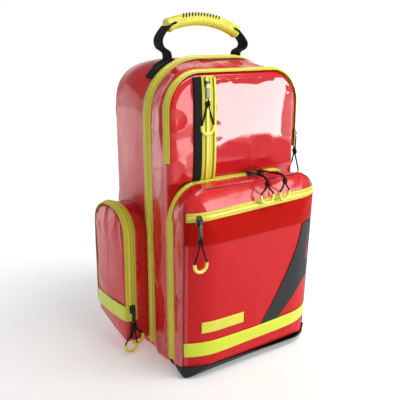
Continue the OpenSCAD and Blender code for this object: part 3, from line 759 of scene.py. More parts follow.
def upper_cover():
    rim = 0.004
    back = MID_Y - GAP
    st = []
    for a in np.radians(np.linspace(0, 90, 6)):
        st.append((-(back - (back - PANEL_Y) * math.sin(a)), between(FRONT, PANEL, math.sin(a)),
                   rim * (1 - math.cos(a)), 0))
    for f in np.linspace(0.02, 1, 44):
        st.append((-PANEL_Y, PANEL, rim + 0.1238 * f, 0))
    G = facing(loft(st, cut=APRON_Z, close=True))
    G[6:, :, 1] -= panel_face(G[6:, :, 0], G[6:, :, 2])
    x = G[..., 0]
    left = 1 - step(x, -0.095, -0.085)
    free = np.maximum(left, step(x, 0.116, 0.122))
    G = crumple(G, [(0.0010, 0.06, 31, False, free),
                    (0.0018, (0.03, 0.03, 0.026), 32, True, left),
                    (0.0014, (0.05, 0.05, 0.05), 33, True, free)], False, (0, -1, 0))
    bend_at_fold(sheet_of("upper_cover", G, "tarp", 0.0028), ["upper_panel"])


def on_panel(name, x0, x1, z0, z1, lift, mat, nodes=(), nx=30, nz=60, layers=(),
             thick=0.001, edge=0.0, swell=0.0):
    """A sheet that lies on the upper panel."""
    x = np.linspace(x0, x1, nx)
    z = np.linspace(z0, z1, nz)
    X, Z = np.meshgrid(x, z)
    U = (X - x0) / (x1 - x0)
    V = (Z - z0) / (z1 - z0)
    r = PANEL[2] - 0.005
    rise = np.clip(Z - PANEL[1] + PANEL[2], 0, r)
    X = x0 + (np.minimum(x1, PANEL[0] / 2 - PANEL[2] + np.sqrt(r ** 2 - rise ** 2)) - x0) * U
    if edge:
        X = X + value_noise(np.stack([X * 0, Z, Z * 0], -1), 0.012, 7) * edge * (2 * U - 1)
        Z = Z + value_noise(np.stack([X, X * 0, X * 0], -1), 0.012, 8) * edge * (2 * V - 1)
    G = np.stack([X, PANEL_Y - panel_face(X, Z) - lift, Z], -1)
    G[..., 1] -= swell * (1 - (2 * U - 1) ** 2) * (1 - (2 * V - 1) ** 2)
    if layers:
        G = crumple(G, layers(U, V))
    bend_at_fold(sheet_of(name, G, mat, thick, uv=(Z, X)), nodes)


# ---------------------------------------------------------------- front pocket
def face_at(i):
    """The pocket face's Y at a distance i in from its outline."""
    crown = 0.018 * crest(i / 0.056) + 0.005 * i * 2 / FACE[0]
    return FACE_Y + 0.0012 * (1 - step(i, 0, 0.006)) - crown


def face_inset(x, z):
    """How far a point of the pocket's face is in from its outline."""
    i = np.zeros_like(x)
    mid = FACE[1] / 2
    for _ in range(14):
        zz = z + 0.5 * i
        r = np.where(zz > mid, FACE[2], FACE[3])
        qx = np.abs(x) - FACE[0] / 2 + r
        qz = np.abs(zz - mid) - mid + r
        sd = (np.minimum(np.maximum(qx, qz), 0)
              + np.hypot(np.maximum(qx, 0), np.maximum(qz, 0)) - r)
        i = np.clip(-sd, 0, 0.13)
    return i


def face_y(x, z):
    return face_at(face_inset(x, z))


def settle_forward(G):
    """Lets the filled pocket lean: its top moves right, its right foot lifts a little."""
    x, y, z = G[..., 0], G[..., 1], G[..., 2]
    fixed = MID_Y - 0.016
    w = np.clip((fixed - y) / (fixed - FACE_Y), 0, 1)
    u = np.clip(x / FACE[0] + 0.5, 0, 1)
    shift = 0.045 * (z - 0.16) * (0.35 + 0.65 * u) * w
    lift = 0.008 * u * np.clip(1 - z / 0.15, 0, 1) * w
    return np.stack([x + shift, y, z + lift], -1)


def pocket_cover():
    st = []
    for f in np.linspace(0, 1, 16):
        y = MID_Y - GAP + (FACE_Y + 0.004 - MID_Y) * f
        st.append((-y, between(NECK, FACE, f), -0.0012 * math.sin(math.pi * f), 0))
    for o, i in ((0.0016, 0.0004), (-0.0002, 0.0018)):
        st.append((-(FACE_Y + o), FACE, i, -0.5 * i))
    for i in np.concatenate([[0.004, 0.0065, 0.0095], np.linspace(0.013, 0.1350, 42)]):
        st.append((-face_at(i), FACE, i, -0.5 * i))
    G = facing(loft(st, close=True))
    x, y, z = G[..., 0], G[..., 1], G[..., 2]
    gusset = step(y, FACE_Y - 0.001, FACE_Y + 0.006)
    off_zip = step(MID_Y - y, 0.018, 0.026)
    off_boot = step(z, 0.018, 0.026)
    low = (1 - step(z, 0.030, 0.040)) * (1 - gusset)
    high = step(z, 0.284, 0.295)
    G = crumple(G, [(0.0009, 0.075, 41, False, off_zip * off_boot),
                    (0.0012, (0.02, 0.05, 0.012), 42, True, low * off_boot),
                    (0.0018, (0.045, 0.03, 0.04), 43, True, gusset * off_zip * off_boot),
                    (0.0018, (0.04, 0.05, 0.03), 44, True, high * off_zip)], True, (0, -1, 0))
    G = settle_forward(G)
    G[..., 2] = np.maximum(G[..., 2], 0.0003)
    ob = sheet_of("pocket_cover", G, "face", 0.0028)
    ob.data.materials.append(M["tarp"])
    for poly in ob.data.polygons:
        c = poly.center
        if c[1] > FACE_Y - 0.004 or c[2] > 0.268:
            poly.material_index = 1
    settle(ob, POCKET, ["pocket_shell"])


def boot_cover():
    """Black boot, higher at its left corner than at its right one."""
    rows = []
    stations = [(MID_Y - GAP + (FACE_Y - MID_Y) * f, 0.0, 0.006 + 0.014 * f, f)
                for f in np.linspace(0, 1, 9)]
    stations += [(face_at(i), i, 0.020, 1) for i in np.linspace(0.002, 0.0385, 16)]
    for y, i, top, f in stations:
        w = between(NECK, FACE, f)[0] / 2 - i
        z0 = 0.5 * i
        r = max(FOOT_R - i, 0.001)
        top = max(top, z0 + 0.0004)
        side = []
        for k in np.linspace(0, 1, 8):
            side.append((w, top + (min(z0 + r, top) - top) * k))
        if top > z0 + r:
            for a in np.radians(np.linspace(0, -90, 9))[1:]:
                side.append((w - r + r * math.cos(a), z0 + r + r * math.sin(a)))
        else:
            for k in np.linspace(0, 1, 9)[1:]:
                side.append((w - r * k, top + (z0 - top) * k))
        base = [(w - r - (2 * (w - r)) * k, z0) for k in np.linspace(0, 1, 60)[1:-1]]
        left = [(-a, b) for a, b in side[::-1]]
        line = np.array(side + base + left)
        rows.append(np.stack([line[:, 0], np.full(len(line), y), line[:, 1]], -1))
    G = np.array(rows)[:, ::-1]
    slope = 1.12 - 0.72 * step(G[..., 0], -0.13, 0.13)
    front = step(-G[..., 1], -FACE_Y - 0.002, -FACE_Y + 0.004)
    G[..., 2] *= 1 - front * (1 - slope)
    G = G + normals(G) * 0.0026
    G = settle_forward(crumple(G, [(0.0004, 0.03, 51, False, None)]))
    G[..., 2] = np.maximum(G[..., 2], 0.0001)
    settle(sheet_of("boot_cover", G, "boot", 0.0016), POCKET, ["pocket_boot"])


def on_face(name, x0, x1, z0, z1, lift, mat, nodes=(), nx=110, nz=10, thick=0.001,
            layers=(), edges=None, rise=0.0, grow=0.0):
    """A strip or patch that lies on the pocket's face; edges gives its sides at a height."""
    u = np.linspace(0, 1, nx)
    z = np.linspace(z0, z1, nz)
    U, Z = np.meshgrid(u, z)
    lo, hi = (x0, x1) if edges is None else edges(Z)
    X = lo + (hi - lo) * U
    Z = Z + (rise + grow * (Z - z0) / (z1 - z0)) * U
    G = np.stack([X, face_y(X, Z) - lift, Z], -1)
    if layers:
        G = crumple(G, layers)
    G = settle_forward(G)
    settle(sheet_of(name, G, mat, thick, uv=(X, Z)), POCKET, nodes)


# ---------------------------------------------------------------- side pockets
def raise_base(G):
    """Lifts the base of a side pocket towards the wearer."""
    G = G.copy()
    back = np.clip((SIDE[0] / 2 - G[..., 0]) / SIDE[0], 0, 1)
    low = np.minimum(G[..., 2] - SIDE[2], 0)
    G[..., 2] = np.maximum(G[..., 2], SIDE[2]) + low * (1 - 0.72 * back)
    return G


def side_gusset(side, tag, put, outward):
    G = put(loft([(WALL_X + (SIDE_ZIP - GAP - WALL_X) * f, SIDE, -0.0010 * math.sin(math.pi * f), 0)
                  for f in np.linspace(0, 1, 16)]))
    near_zip = step(np.abs(G[..., 0]), 0.145, 0.165)
    G = crumple(G, [(0.0012 * outward, 0.05, 61, False, None),
                    (0.0016 * outward, (0.03, 0.022, 0.016), 62, True, near_zip)], True)
    at_wall = np.abs(G[..., 0]) < 0.129
    G[..., 0] = np.where(at_wall, side * WALL_X, G[..., 0])
    settle(sheet_of("side_gusset_" + tag, G, "tarp", 0.0025, flip=side > 0), ROOT,
           ["side_tray_" + tag])


def side_cover(side, tag, put, outward):
    st = []
    for a in np.radians(np.linspace(0, 90, 8)):
        st.append((SIDE_ZIP + GAP + (SIDE_X - SIDE_ZIP - 0.0035) * math.sin(a), SIDE,
                   COVER_EDGE * (1 - math.cos(a)), 0))
    for f in np.linspace(0.03, 1, 28):
        st.append((SIDE_X - COVER_CROWN + COVER_CROWN * crest(f), SIDE,
                   COVER_EDGE + COVER_MOST * f, 0))
    G = put(loft(st, close=True))
    ruffle = step(G[..., 2], 0.18, 0.235) * (1 - step(np.abs(G[..., 0]), 0.176, 0.179) * 0.3)
    G = crumple(G, [(0.0010 * outward, 0.05, 63, False, None),
                    (0.0022 * outward, (0.03, 0.016, 0.03), 64, True, ruffle),
                    (0.0012 * outward, (0.03, 0.05, 0.05), 65, True, None)], True, (1, 0, 0))
    ob = sheet_of("side_cover_" + tag, G, "soft", 0.0025, flip=side > 0)
    settle(ob, None, ["flap_" + tag])
    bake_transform(ob)


def side_zip(side, tag):
    p, n = ring(*SIDE)
    keep = p[:, 1] > SIDE[2]
    P, N = resample(p[keep], n[keep], TOOTH_PITCH)
    line = np.stack([P[:, 0], np.full(len(P), SIDE_ZIP), P[:, 1]], -1)
    up = np.stack([np.zeros(len(P)), -N[:, 0], N[:, 1]], -1)
    C = facing(line, side, SIDE_Y, SIDE_Z) + up * 0.0008
    inward = np.array([-side * 1.0, 0, 0])
    zip_half("side_zip_inner_" + tag, C, up, inward, 0.0095, ROOT,
             ["side_tray_tapes"] if side < 0 else [], flip=side > 0, wob=0.0012)
    zip_half("side_zip_outer_" + tag, C, up, -inward, 0.0095, tag + "_flap",
             ["flap_tape_" + tag], flip=side < 0, wob=0.0012)
    stitches("side_stitches_" + tag, C + inward * 0.0122 - up * 0.0002, up, ROOT)


def side_strip(side, tag, put):
    """Reflective strip across the cover, which follows its rounded edges and its crown."""
    across, up = np.meshgrid(np.linspace(-0.0555, 0.0555, 50),
                             np.linspace(0.0635, 0.0915, 8) - SIDE_Z)
    in_edge = SIDE[0] / 2 - np.abs(across)
    out = SIDE_X - 0.0028 - COVER_EDGE * (1 - np.sqrt(crest(in_edge / COVER_EDGE)))
    out = out + COVER_CROWN * crest((in_edge - COVER_EDGE) / COVER_MOST) + 0.0016
    G = crumple(put(np.stack([across, out, up], -1)), [(0.0005, 0.012, 66, True, None)])
    settle(sheet_of("side_strip_" + tag, G, "strip", 0.0008, flip=side > 0), tag + "_flap",
           ["flap_strip_" + tag])


def side_pocket(side, tag):
    """One side pocket: its gusset, cover, zip and strip."""
    outward = -side     # a mirrored grid has its normals the other way round

    def put(G):
        return facing(raise_base(G), side, SIDE_Y, SIDE_Z)

    side_gusset(side, tag, put, outward)
    side_cover(side, tag, put, outward)
    side_zip(side, tag)
    side_strip(side, tag, put)


# ---------------------------------------------------------------- pulls
def rounded_plate(name, outline, thick, mat, place, body, nodes=()):
    """Plate with the given outline in its own XZ plane, moved by a matrix."""
    bm = bmesh.new()
    face = bm.faces.new([bm.verts.new((x, thick / 2, z)) for x, z in outline])
    out = bmesh.ops.extrude_face_region(bm, geom=[face])
    for v in out["geom"]:
        if isinstance(v, bmesh.types.BMVert):
            v.co.y -= thick
    bmesh.ops.recalc_face_normals(bm, faces=bm.faces)
    bm.transform(place)
    me = bpy.data.meshes.new(name)
    bm.to_mesh(me)
    bm.free()
    ob = bpy.data.objects.new(name, me)
    scene.collection.objects.link(ob)
    me.materials.append(M[mat])
    me.shade_smooth()
    mod = ob.modifiers.new("bevel", "BEVEL")
    mod.width = 0.0006
    mod.segments = 2
    mod.limit_method = "ANGLE"
    settle(ob, body, nodes)


def outline_of(w, l, r):
    """Rounded rectangle hanging down from the origin."""
    n = 6
    pts = []
    for cx, cz, a0 in ((w / 2 - r, -r, 0), (r - w / 2, -r, 90), (r - w / 2, r - l, 180),
                       (w / 2 - r, r - l, 270)):
        for k in range(n):
            a = math.radians(a0 + 90 * k / (n - 1))
            pts.append((cx + r * math.cos(a), cz + r * math.sin(a)))
    return pts


def cord(name, place, points, r, body, around=8):
    """Cord of a pull along points in the plane of the pull, moved by a matrix."""
    tube(name, [place @ Vector(p) for p in points], r, "cord", body, around=around)


def loop_parts(name, place, drop, body):
    """Knot, two cords and a tube hanging down from the origin of place."""
    loop_r = 0.0113
    tube_r = 0.00275
    spread = loop_r + tube_r - drop
    knot = []
    for t in np.linspace(0, 2 * math.pi, 40, endpoint=False):
        k = 0.0026 + 0.0012 * math.cos(3 * t)
        knot.append((k * math.cos(2 * t), 0.0012 * math.sin(3 * t),
                     -0.003 + 0.0032 * math.sin(2 * t) + 0.0010 * math.cos(5 * t)))
    cord(name + "_knot", place, knot, 0.0019, body)
    for s, end in ((-1, "_cord_a"), (1, "_cord_b")):
        pts = smooth_path([(s * 0.0006, 0, -0.002), (s * 0.0016, 0, -0.007),
                           (s * loop_r * 0.55, -0.0008, spread / 2 - 0.002),
                           (s * loop_r * 0.98, -0.0004, spread + 0.005),
                           (s * loop_r, 0, spread - 0.003)], 22)
        cord(name + end, place, pts, 0.00145, body)
    arc = [place @ Vector((loop_r * math.cos(a), 0, spread - loop_r * math.sin(a)))
           for a in np.radians(np.linspace(-14, 194, 40))]
    tube(name + "_tube", arc, tube_r, "tube", body, around=14)


PULL_LEN = 0.084
TAB_LEN = 0.030


def shift(x, y, z):
    return Matrix.Translation((x, y, z))


def pull_piece(name, node, place, tab):
    """Straight pull: a tab on the slider's pin, then a knotted loop."""
    rounded_plate(name + "_tab", outline_of(0.0066, TAB_LEN - 0.004, 0.0018), 0.0022, tab,
                  place @ shift(0, 0, -0.004), name, [node])
    rounded_plate(name + "_neck", outline_of(0.0036, 0.008, 0.0016), 0.0020, tab,
                  place @ shift(0, 0, 0.0018), name)
    if tab == "silver":
        for k, z in (("top", -0.0035), ("end", -0.0245)):
            rounded_plate(name + "_cap_" + k, outline_of(0.0070, 0.0055, 0.0016), 0.0026, "tube",
                          place @ shift(0, 0, z), name)
    cord(name + "_throat", place, [(0, 0, dz - TAB_LEN) for dz in (0.006, 0.002, -0.001)],
         0.0019, name)
    loop_parts(name, place @ shift(0, 0, -TAB_LEN), PULL_LEN - TAB_LEN, name)


def pin_of(node):
    """Middle of a slider's pin, from its joint."""
    for j in frame["joints"]:
        if j["child"] == node and j["type"] == "hinge":
            return Vector(j["pos_m"])
    raise KeyError(node)


def side_pull(side, tag):
    """Short tab with two loops that hang apart."""
    body = tag + "_zip_pull"
    base = Matrix.Translation(pin_of(body))
    name = "side_pull_" + tag
    rounded_plate(name + "_tab", outline_of(0.0068, 0.027, 0.0018), 0.0024, "metal",
                  base @ shift(0, 0, 0.0018), body, [name])
    for k, x, turn, drop in (("short", 0.0015, 16, 0.042), ("long", -0.0015, -12, 0.054)):
        place = base @ shift(x * side, 0, -0.028)
        loop_parts(name + "_" + k, place @ Matrix.Rotation(math.radians(turn * side), 4, "Y"),
                   drop, body)


def pocket_pull(k, yaw):
    """Pull that lies forward over the pocket's top, with its loop hanging over the edge."""
    body = "pocket_zip_pull_" + k
    base = Matrix.Translation(pin_of(body)) @ Matrix.Rotation(math.radians(yaw), 4, "Z")
    flat = base @ Matrix.Rotation(math.radians(-90), 4, "X")
    name = "pocket_pull_piece_" + k
    rounded_plate(name + "_tab", outline_of(0.0066, 0.028, 0.0018), 0.0022, "metal",
                  flat @ shift(0, 0, 0.0018), body, ["pocket_pull_" + k])
    lead = smooth_path([(0, -0.024, 0), (0, -0.036, 0.001), (0, -0.048, 0), (0, -0.0545, -0.004),
                        (0, -0.056, -0.010)], 18)
    cord(name + "_lead", base, lead, 0.0019, body, around=12)
    loop_parts(name, base @ shift(0, -0.056, -0.006), 0.038, body)


def all_pulls():
    right = Matrix.Rotation(math.radians(90), 4, "Z")
    for name, node, turn, tab in (("main_zip_pull", "main_pull", right, "metal"),
                                  ("upper_zip_pull", "upper_pull", right, "metal"),
                                  ("level_zip_pull", "slash_pull", Matrix(), "metal"),
                                  ("window_zip_pull", "window_pull", Matrix(), "silver")):
        pull_piece(name, node, Matrix.Translation(pin_of(name)) @ turn, tab)
    for side, tag in SIDES:
        side_pull(side, tag)
    pocket_pull("a", -8)
    pocket_pull("b", 8)


# ---------------------------------------------------------------- carry handle
HANDLE_Y = 0.003
HINGE_Z = pin_of("carry_handle")[2]
GRIP_R = 0.0105
CHORD, ARCH = 0.082, 0.017
ARCH_R = (CHORD ** 2 + ARCH ** 2) / (2 * ARCH)
ARCH_HALF = math.asin(CHORD / ARCH_R)
ARCH_Z = HINGE_Z + 0.038 + ARCH - ARCH_R        # height of the arch's centre
LEG = ((0.072, -0.014), (0.0735, 0.0), (0.0876, 0.008), (0.093, 0.018), (0.0894, 0.028),
       (0.078, 0.040), (0.066, 0.0455))


def handle_at(x, z):
    """A point of the handle, which leans to the right, sags a little and draws in upwards."""
    up = min(max((z - HINGE_Z) / 0.035, 0), 1)
    return x * (1 - 0.085 * up), HANDLE_Y, z - (0.06 * x + 0.001) * up


def grip_girth(t):
    """Radius of the grip, t from -1 to 1 along it, with a collar before each end."""
    return GRIP_R * (1 + 0.10 * step(abs(t), 0.80, 0.93))


def on_grip(t, turn, lift):
    """A point over the grip's skin, turned round it from its top by an angle."""
    r = grip_girth(t) + lift
    k = math.radians(turn)
    out = ARCH_R + r * math.cos(k)
    x, y, z = handle_at(out * math.sin(ARCH_HALF * t), ARCH_Z + out * math.cos(ARCH_HALF * t))
    return x, y + r * math.sin(k), z


def handle_side(side, tag):
    """Webbing leg that bends at the hinge, and the patch that sews it to the bag's corner."""
    leg = smooth_path([handle_at(side * x, HINGE_Z + z) for x, z in LEG], 40)
    ob = web("handle_leg_" + tag, leg, (0, 1, 0), 0.0255, None, t=0.0032,
             nodes=["handle_webbing"] if side < 0 else [])
    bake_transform(ob)
    r = body_outline(HANDLE_Y)[2]
    arc = []
    for x in np.linspace(0.066, 0.110, 26):
        d = max(x - (W / 2 - r), 0)
        arc.append((side * x, HANDLE_Y, H - r + math.sqrt(r ** 2 - d ** 2) + 0.0022))
    web("handle_patch_" + tag, arc, (0, 1, 0), 0.0262, ROOT, t=0.003,
        nodes=["handle_patches"] if side < 0 else [])
    for k, dy in enumerate((-0.0105, 0.0105)):
        row = np.array(arc[3:24]) + [0, dy, 0.0018]
        up = np.tile([0, 0, 1.0], (len(row), 1))
        stitches("patch_stitches_%s_%d" % (tag, k), row, up, ROOT,
                 "dark_thread", 0.003, 0.002, 0.0003)


def grip_dots():
    """Raised dots in rows near both ends of the grip."""
    verts = []
    faces = []
    for end in (-1, 1):
        for col in range(7):
            for row in range(4):
                c = Vector(on_grip(end * (0.52 + 0.045 * col), -20 - 22 * row, 0.0))
                k = len(verts)
                for th in (math.radians(30 + 30 * lat) for lat in range(3)):
                    for ph in (math.radians(60 * lon) for lon in range(6)):
                        verts.append(c + Vector((math.sin(th) * math.cos(ph), -math.cos(th),
                                                 math.sin(th) * math.sin(ph))) * 0.0009)
                for a in (k, k + 6):
                    for lon in range(6):
                        n = (lon + 1) % 6
                        faces.append((a + lon, a + n, a + 6 + n, a + 6 + lon))
                faces.append(tuple(k + i for i in range(5, -1, -1)))
    settle(add_mesh("grip_dots", verts, faces, "tube"), "carry_handle")


def handle():
    for side, tag in SIDES:
        handle_side(side, tag)
    along = np.linspace(-1, 1, 70)
    path = [handle_at(ARCH_R * math.sin(ARCH_HALF * t), ARCH_Z + ARCH_R * math.cos(ARCH_HALF * t))
            for t in along]
    radii = np.array([grip_girth(t) * (1 - 0.32 * step(abs(t), 0.955, 1.0)) for t in along])
    tube("grip_body", path, GRIP_R, "grip", "carry_handle", ["handle_grip"],
         around=28, radii=radii)
    for k in range(13):
        t0 = -0.52 + 0.92 * k / 12
        pts = [on_grip(t0 - 0.0016 * (s - 26), -s, 0.0007) for s in np.linspace(14, 62, 14)]
        tube("grip_mark_%02d" % k, pts, 0.0012, "dark_thread", "carry_handle",
             around=6)
    grip_dots()


# ---------------------------------------------------------------- padded harness
def pad_mesh(name, cells):
    """Closed rounded box of points: cells(u, v) gives the middle point, its outward
    direction and half thickness on a grid from 0 to 1 each way."""
    n, m = 25, 33
    top = []
    bottom = []
    for j in range(m):
        for i in range(n):
            c, d, h = cells(i / (n - 1), j / (m - 1))
            e = min(i, n - 1 - i, 3) / 3 * 0.55 + 0.45
            f = min(j, m - 1 - j, 3) / 3 * 0.55 + 0.45
            top.append(c + d * h * min(e, f))
            bottom.append(c - d * h * min(e, f))
    verts = top + bottom
    k = n * m
    faces = []
    for j in range(m - 1):
        for i in range(n - 1):
            a = j * n + i
            faces.append((a, a + 1, a + n + 1, a + n))
            faces.append((k + a, k + a + n, k + a + n + 1, k + a + 1))
    for i in range(n - 1):
        faces.append((i, k + i, k + i + 1, i + 1))
        a = (m - 1) * n + i
        faces.append((a, a + 1, k + a + 1, k + a))
    for j in range(m - 1):
        a = j * n
        faces.append((a, a + n, k + a + n, k + a))
        a = j * n + n - 1
        faces.append((a, k + a, k + a + n, a + n))
    ob = add_mesh(name, verts, faces, "mesh")
    bm = bmesh.new()
    bm.from_mesh(ob.data)
    bmesh.ops.recalc_face_normals(bm, faces=bm.faces)
    bm.to_mesh(ob.data)
    bm.free()
    return ob


def puff(ob, cap):
    """Inflates a closed pad by a short cloth simulation; no point moves further than cap."""
    bpy.context.view_layer.objects.active = ob
    for o in scene.objects:
        o.select_set(o == ob)
    rem = ob.modifiers.new("remesh", "REMESH")
    rem.mode = "VOXEL"
    rem.voxel_size = 0.005
    bpy.ops.object.modifier_apply(modifier="remesh")
    start = np.array([v.co[:] for v in ob.data.vertices])
    cloth = ob.modifiers.new("cloth", "CLOTH")
    cloth.settings.use_pressure = True
    cloth.settings.uniform_pressure_force = 4.0
    cloth.settings.effector_weights.gravity = 0
    cloth.point_cache.frame_start = 1
    cloth.point_cache.frame_end = 20
    for f in range(1, 21):
        scene.frame_set(f)
    puffed = ob.evaluated_get(bpy.context.evaluated_depsgraph_get())
    end = np.array([v.co[:] for v in puffed.data.vertices])
    move = end - start
    far = np.linalg.norm(move, axis=1, keepdims=True)
    end = start + move * np.minimum(1, cap / np.maximum(far, 1e-9))
    ob.modifiers.remove(cloth)
    for v, p in zip(ob.data.vertices, end):
        v.co = p
    ob.data.shade_smooth()
    sub = ob.modifiers.new("smooth", "SUBSURF")
    sub.levels = sub.render_levels = 1
    bpy.ops.object.modifier_apply(modifier="smooth")
    scene.frame_set(1)


def padded(name, cells, nodes, cap):
    ob = pad_mesh(name, cells)
    puff(ob, cap)
    settle(ob, ROOT, nodes)


PAD_HALF = 0.0042       # half thickness of the pads and fins before they are puffed


def back_pads():
    lo, hi = corners("back_pads")
    y = (lo[1] + hi[1]) / 2
    for tag, z0, z1 in (("top", 0.225, 0.430), ("base", 0.055, 0.185)):
        for k, (x0, x1) in enumerate(((-0.073, -0.005), (0.005, 0.073))):
            def cells(u, v, x0=x0, x1=x1, z0=z0, z1=z1):
                return np.array([x0 + (x1 - x0) * u, y, z0 + (z1 - z0) * v]), BACK, PAD_HALF
            padded("back_pad_%s_%d" % (tag, k), cells, ["back_pads"] if tag == "top" else [],
                   0.0022)


def hip_fins():
    lo, hi = corners("hip_fins")
    y = (lo[1] + hi[1]) / 2
    for side, tag in SIDES:
        def cells(u, v, side=side):
            return np.array([side * (0.021 + 0.052 * u), y, 0.075 + 0.050 * v]), BACK, PAD_HALF
        padded("hip_fin_" + tag, cells, ["hip_fins"] if side < 0 else [], 0.0018)


# a shoulder strap's middle line in mm: out from the back panel, and up from its anchor
STRAP = [(3.8, -2), (26, 12), (42, 2), (52, -30), (57, -80), (58, -140), (55, -200), (47, -255)]


def straps():
    lean = math.radians(6)
    path = smooth_path([(0, REAR_Y + a / 1000 + 0.001, b / 1000) for a, b in STRAP], 90)
    T = directions(path)
    up = np.stack([T[:, 0], -T[:, 2], T[:, 1]], -1) * -1
    for side, tag in SIDES:
        turn = Matrix.Translation((side * 0.048, 0, H - 0.055)) @ Matrix.Rotation(
            -side * lean, 4, "Y")

        def move(p):
            return np.array(turn @ Vector(p))

        def cells(u, v):
            f = v * (len(path) - 1)
            i = min(int(f), len(path) - 2)
            c = path[i] + (path[i + 1] - path[i]) * (f - i)
            d = up[i]
            w = 0.0265 * (1 - 0.22 * step(v, 0.88, 1.0))
            c = c + np.array([(2 * u - 1) * w, 0, 0])
            return move(c), np.array(turn.to_3x3() @ Vector(d)), 0.0048

        padded("shoulder_strap_" + tag, cells, ["shoulder_straps"] if side < 0 else [], 0.0022)
        C = [move(path[i] + up[i] * 0.0072) for i in range(28, 86)]
        wide = np.array(turn.to_3x3() @ Vector((1, 0, 0)))
        web("strap_trim_" + tag, C, wide, 0.024, ROOT, t=0.0016)
        C = [move(path[i] + up[i] * 0.0090) for i in range(36, 52)]
        web("strap_reflector_" + tag, C, wide, 0.020, ROOT, "strip", 0.0008)
        lock = move((0, path[-1][1] - 0.002, -0.255 - 0.014))
        run = smooth_path([lock + np.array([0, 0.001, 0.008]), lock + np.array([0, 0.002, -0.012]),
                           (lock + np.array([side * 0.104, REAR_Y + 0.001, 0.04])) / 2
                           + np.array([0, 0.004, -0.006]),
                           (side * 0.104, REAR_Y + 0.0022, 0.040)], 40)
        web("strap_webbing_" + tag, run, (1, 0, 0), 0.025, ROOT,
            nodes=["strap_webbing"] if side < 0 else [])
        lift = smooth_path([move((0, REAR_Y + 0.0500, 0.0060)), move((0, REAR_Y + 0.025, 0.026)),
                            move((0, REAR_Y + 0.0022, 0.044))], 24)
        web("load_lifter_" + tag, lift, wide, 0.025, ROOT)


def buckle_webbing():
    """Short ends of webbing in both halves of the hip and chest buckles."""
    for tag, z, w, run, y, x in (("hip", 0.100, 0.025, 0.052, corners("hip_plug")[0][1], 0.002),
                                 ("chest", 0.385, 0.020, 0.044,
                                  corners("sternum_plug")[0][1], 0.004)):
        ends = ((x - 0.028, x - 0.026 - run + 0.008, ROOT, "socket"),
                (x + 0.011, x + 0.0094 + run, tag + "_buckle_plug", "plug"))
        for x0, x1, body, kind in ends:
            C = [(a, y + 0.001, z) for a in np.linspace(x0, x1, 20)]
            web("%s_webbing_%s" % (tag, kind), C, (0, 0, 1), w + 0.0006, body, t=0.0029)


# ---------------------------------------------------------------- zips, window and front
def body_zips():
    C, up = zip_path(BODY, ZIP_Y, 0.0012)
    zip_half("main_zip_rear", C, up, BACK, 0.0120, ROOT, ["main_zip_rear"])
    zip_half("main_zip_front", C, up, AHEAD, 0.0120, LID, ["main_zip_front"], flip=True)
    stitches("main_stitches", C + [0, 0.0158, 0] - up * 0.0002, up, ROOT)
    stitches("lid_stitches", C - [0, 0.0158, 0] - up * 0.0010, up, LID)
    C, up = zip_path(PANEL_ZIP, MID_Y, 0.0006, FOLD_Z + 0.004)
    zip_half("panel_zip_rear", C, up, BACK, 0.0080, LID, ["lid_tapes"])
    C, up = zip_path(PANEL_ZIP, MID_Y, 0.0002, FOLD_Z + 0.004)
    zip_half("panel_zip_front", C, up, AHEAD, 0.0062, FLAP, ["upper_tapes"], flip=True)
    C, up = zip_path(NECK, MID_Y - 0.004, 0.0016)
    zip_half("pocket_zip_rear", C, up, BACK, 0.0105, LID)
    zip_half("pocket_zip_front", C, up, AHEAD, 0.0115, POCKET, ["pocket_tapes"], flip=True)


def even_ripple(U, V):
    return [(0.0004, 0.03, 71, False, None)]


def film_ripples(U, V):
    """Ruffles at the film's rim and folds low down, over a slow swell."""
    rim = 1 - step(np.minimum(np.minimum(U, 1 - U), np.minimum(V, 1 - V)), 0.02, 0.10)
    low = 1 - step(V, 0.10, 0.45)
    return [(0.0004, (0.03, 0.05, 0.02), 81, True, rim),
            (0.0010, (0.05, 0.05, 0.03), 82, True, low),
            (0.0005, 0.08, 83, False, None)]


def window_parts():
    on_panel("panel_webbing", -0.0890, -0.0745, APRON_Z, 0.4835, 0.0022, "web",
             ["webbing_strip"], nx=7, nz=70, layers=even_ripple, thick=0.002)
    on_panel("window_zip_tape", -0.0745, -0.0500, APRON_Z, 0.4850, 0.0012, "zip",
             nx=9, nz=90, layers=even_ripple)
    on_panel("window_zip_coil", -0.0670, -0.0616, APRON_Z, 0.4840, 0.0032, "coil",
             nx=5, nz=90, thick=0.0016)
    on_panel("window_hem", -0.0520, -0.0480, APRON_Z, 0.4825, 0.0034, "strip",
             nx=4, nz=70, thick=0.0008)
    on_panel("window_film", -0.0485, 0.1200, 0.3260, 0.4790, 0.0020, "film",
             ["window"], nx=110, nz=100, layers=film_ripples, thick=0.0006, edge=0.0014,
             swell=0.0030)


def slash_edges(Z):
    """Sides of the broad grey slash, which leans from upper right to lower left and
    reaches the face's right edge halfway down."""
    v = np.clip((0.230 - Z) / 0.170, 0, 1)
    left = 0.098 - 0.016 * v - 0.076 * v ** 1.6
    right = np.interp(v, (0, 0.20, 0.42, 0.46, 0.60, 0.68, 1),
                      (0.134, 0.126, 0.121, 0.1335, 0.1320, 0.106, 0.047))
    return left, right


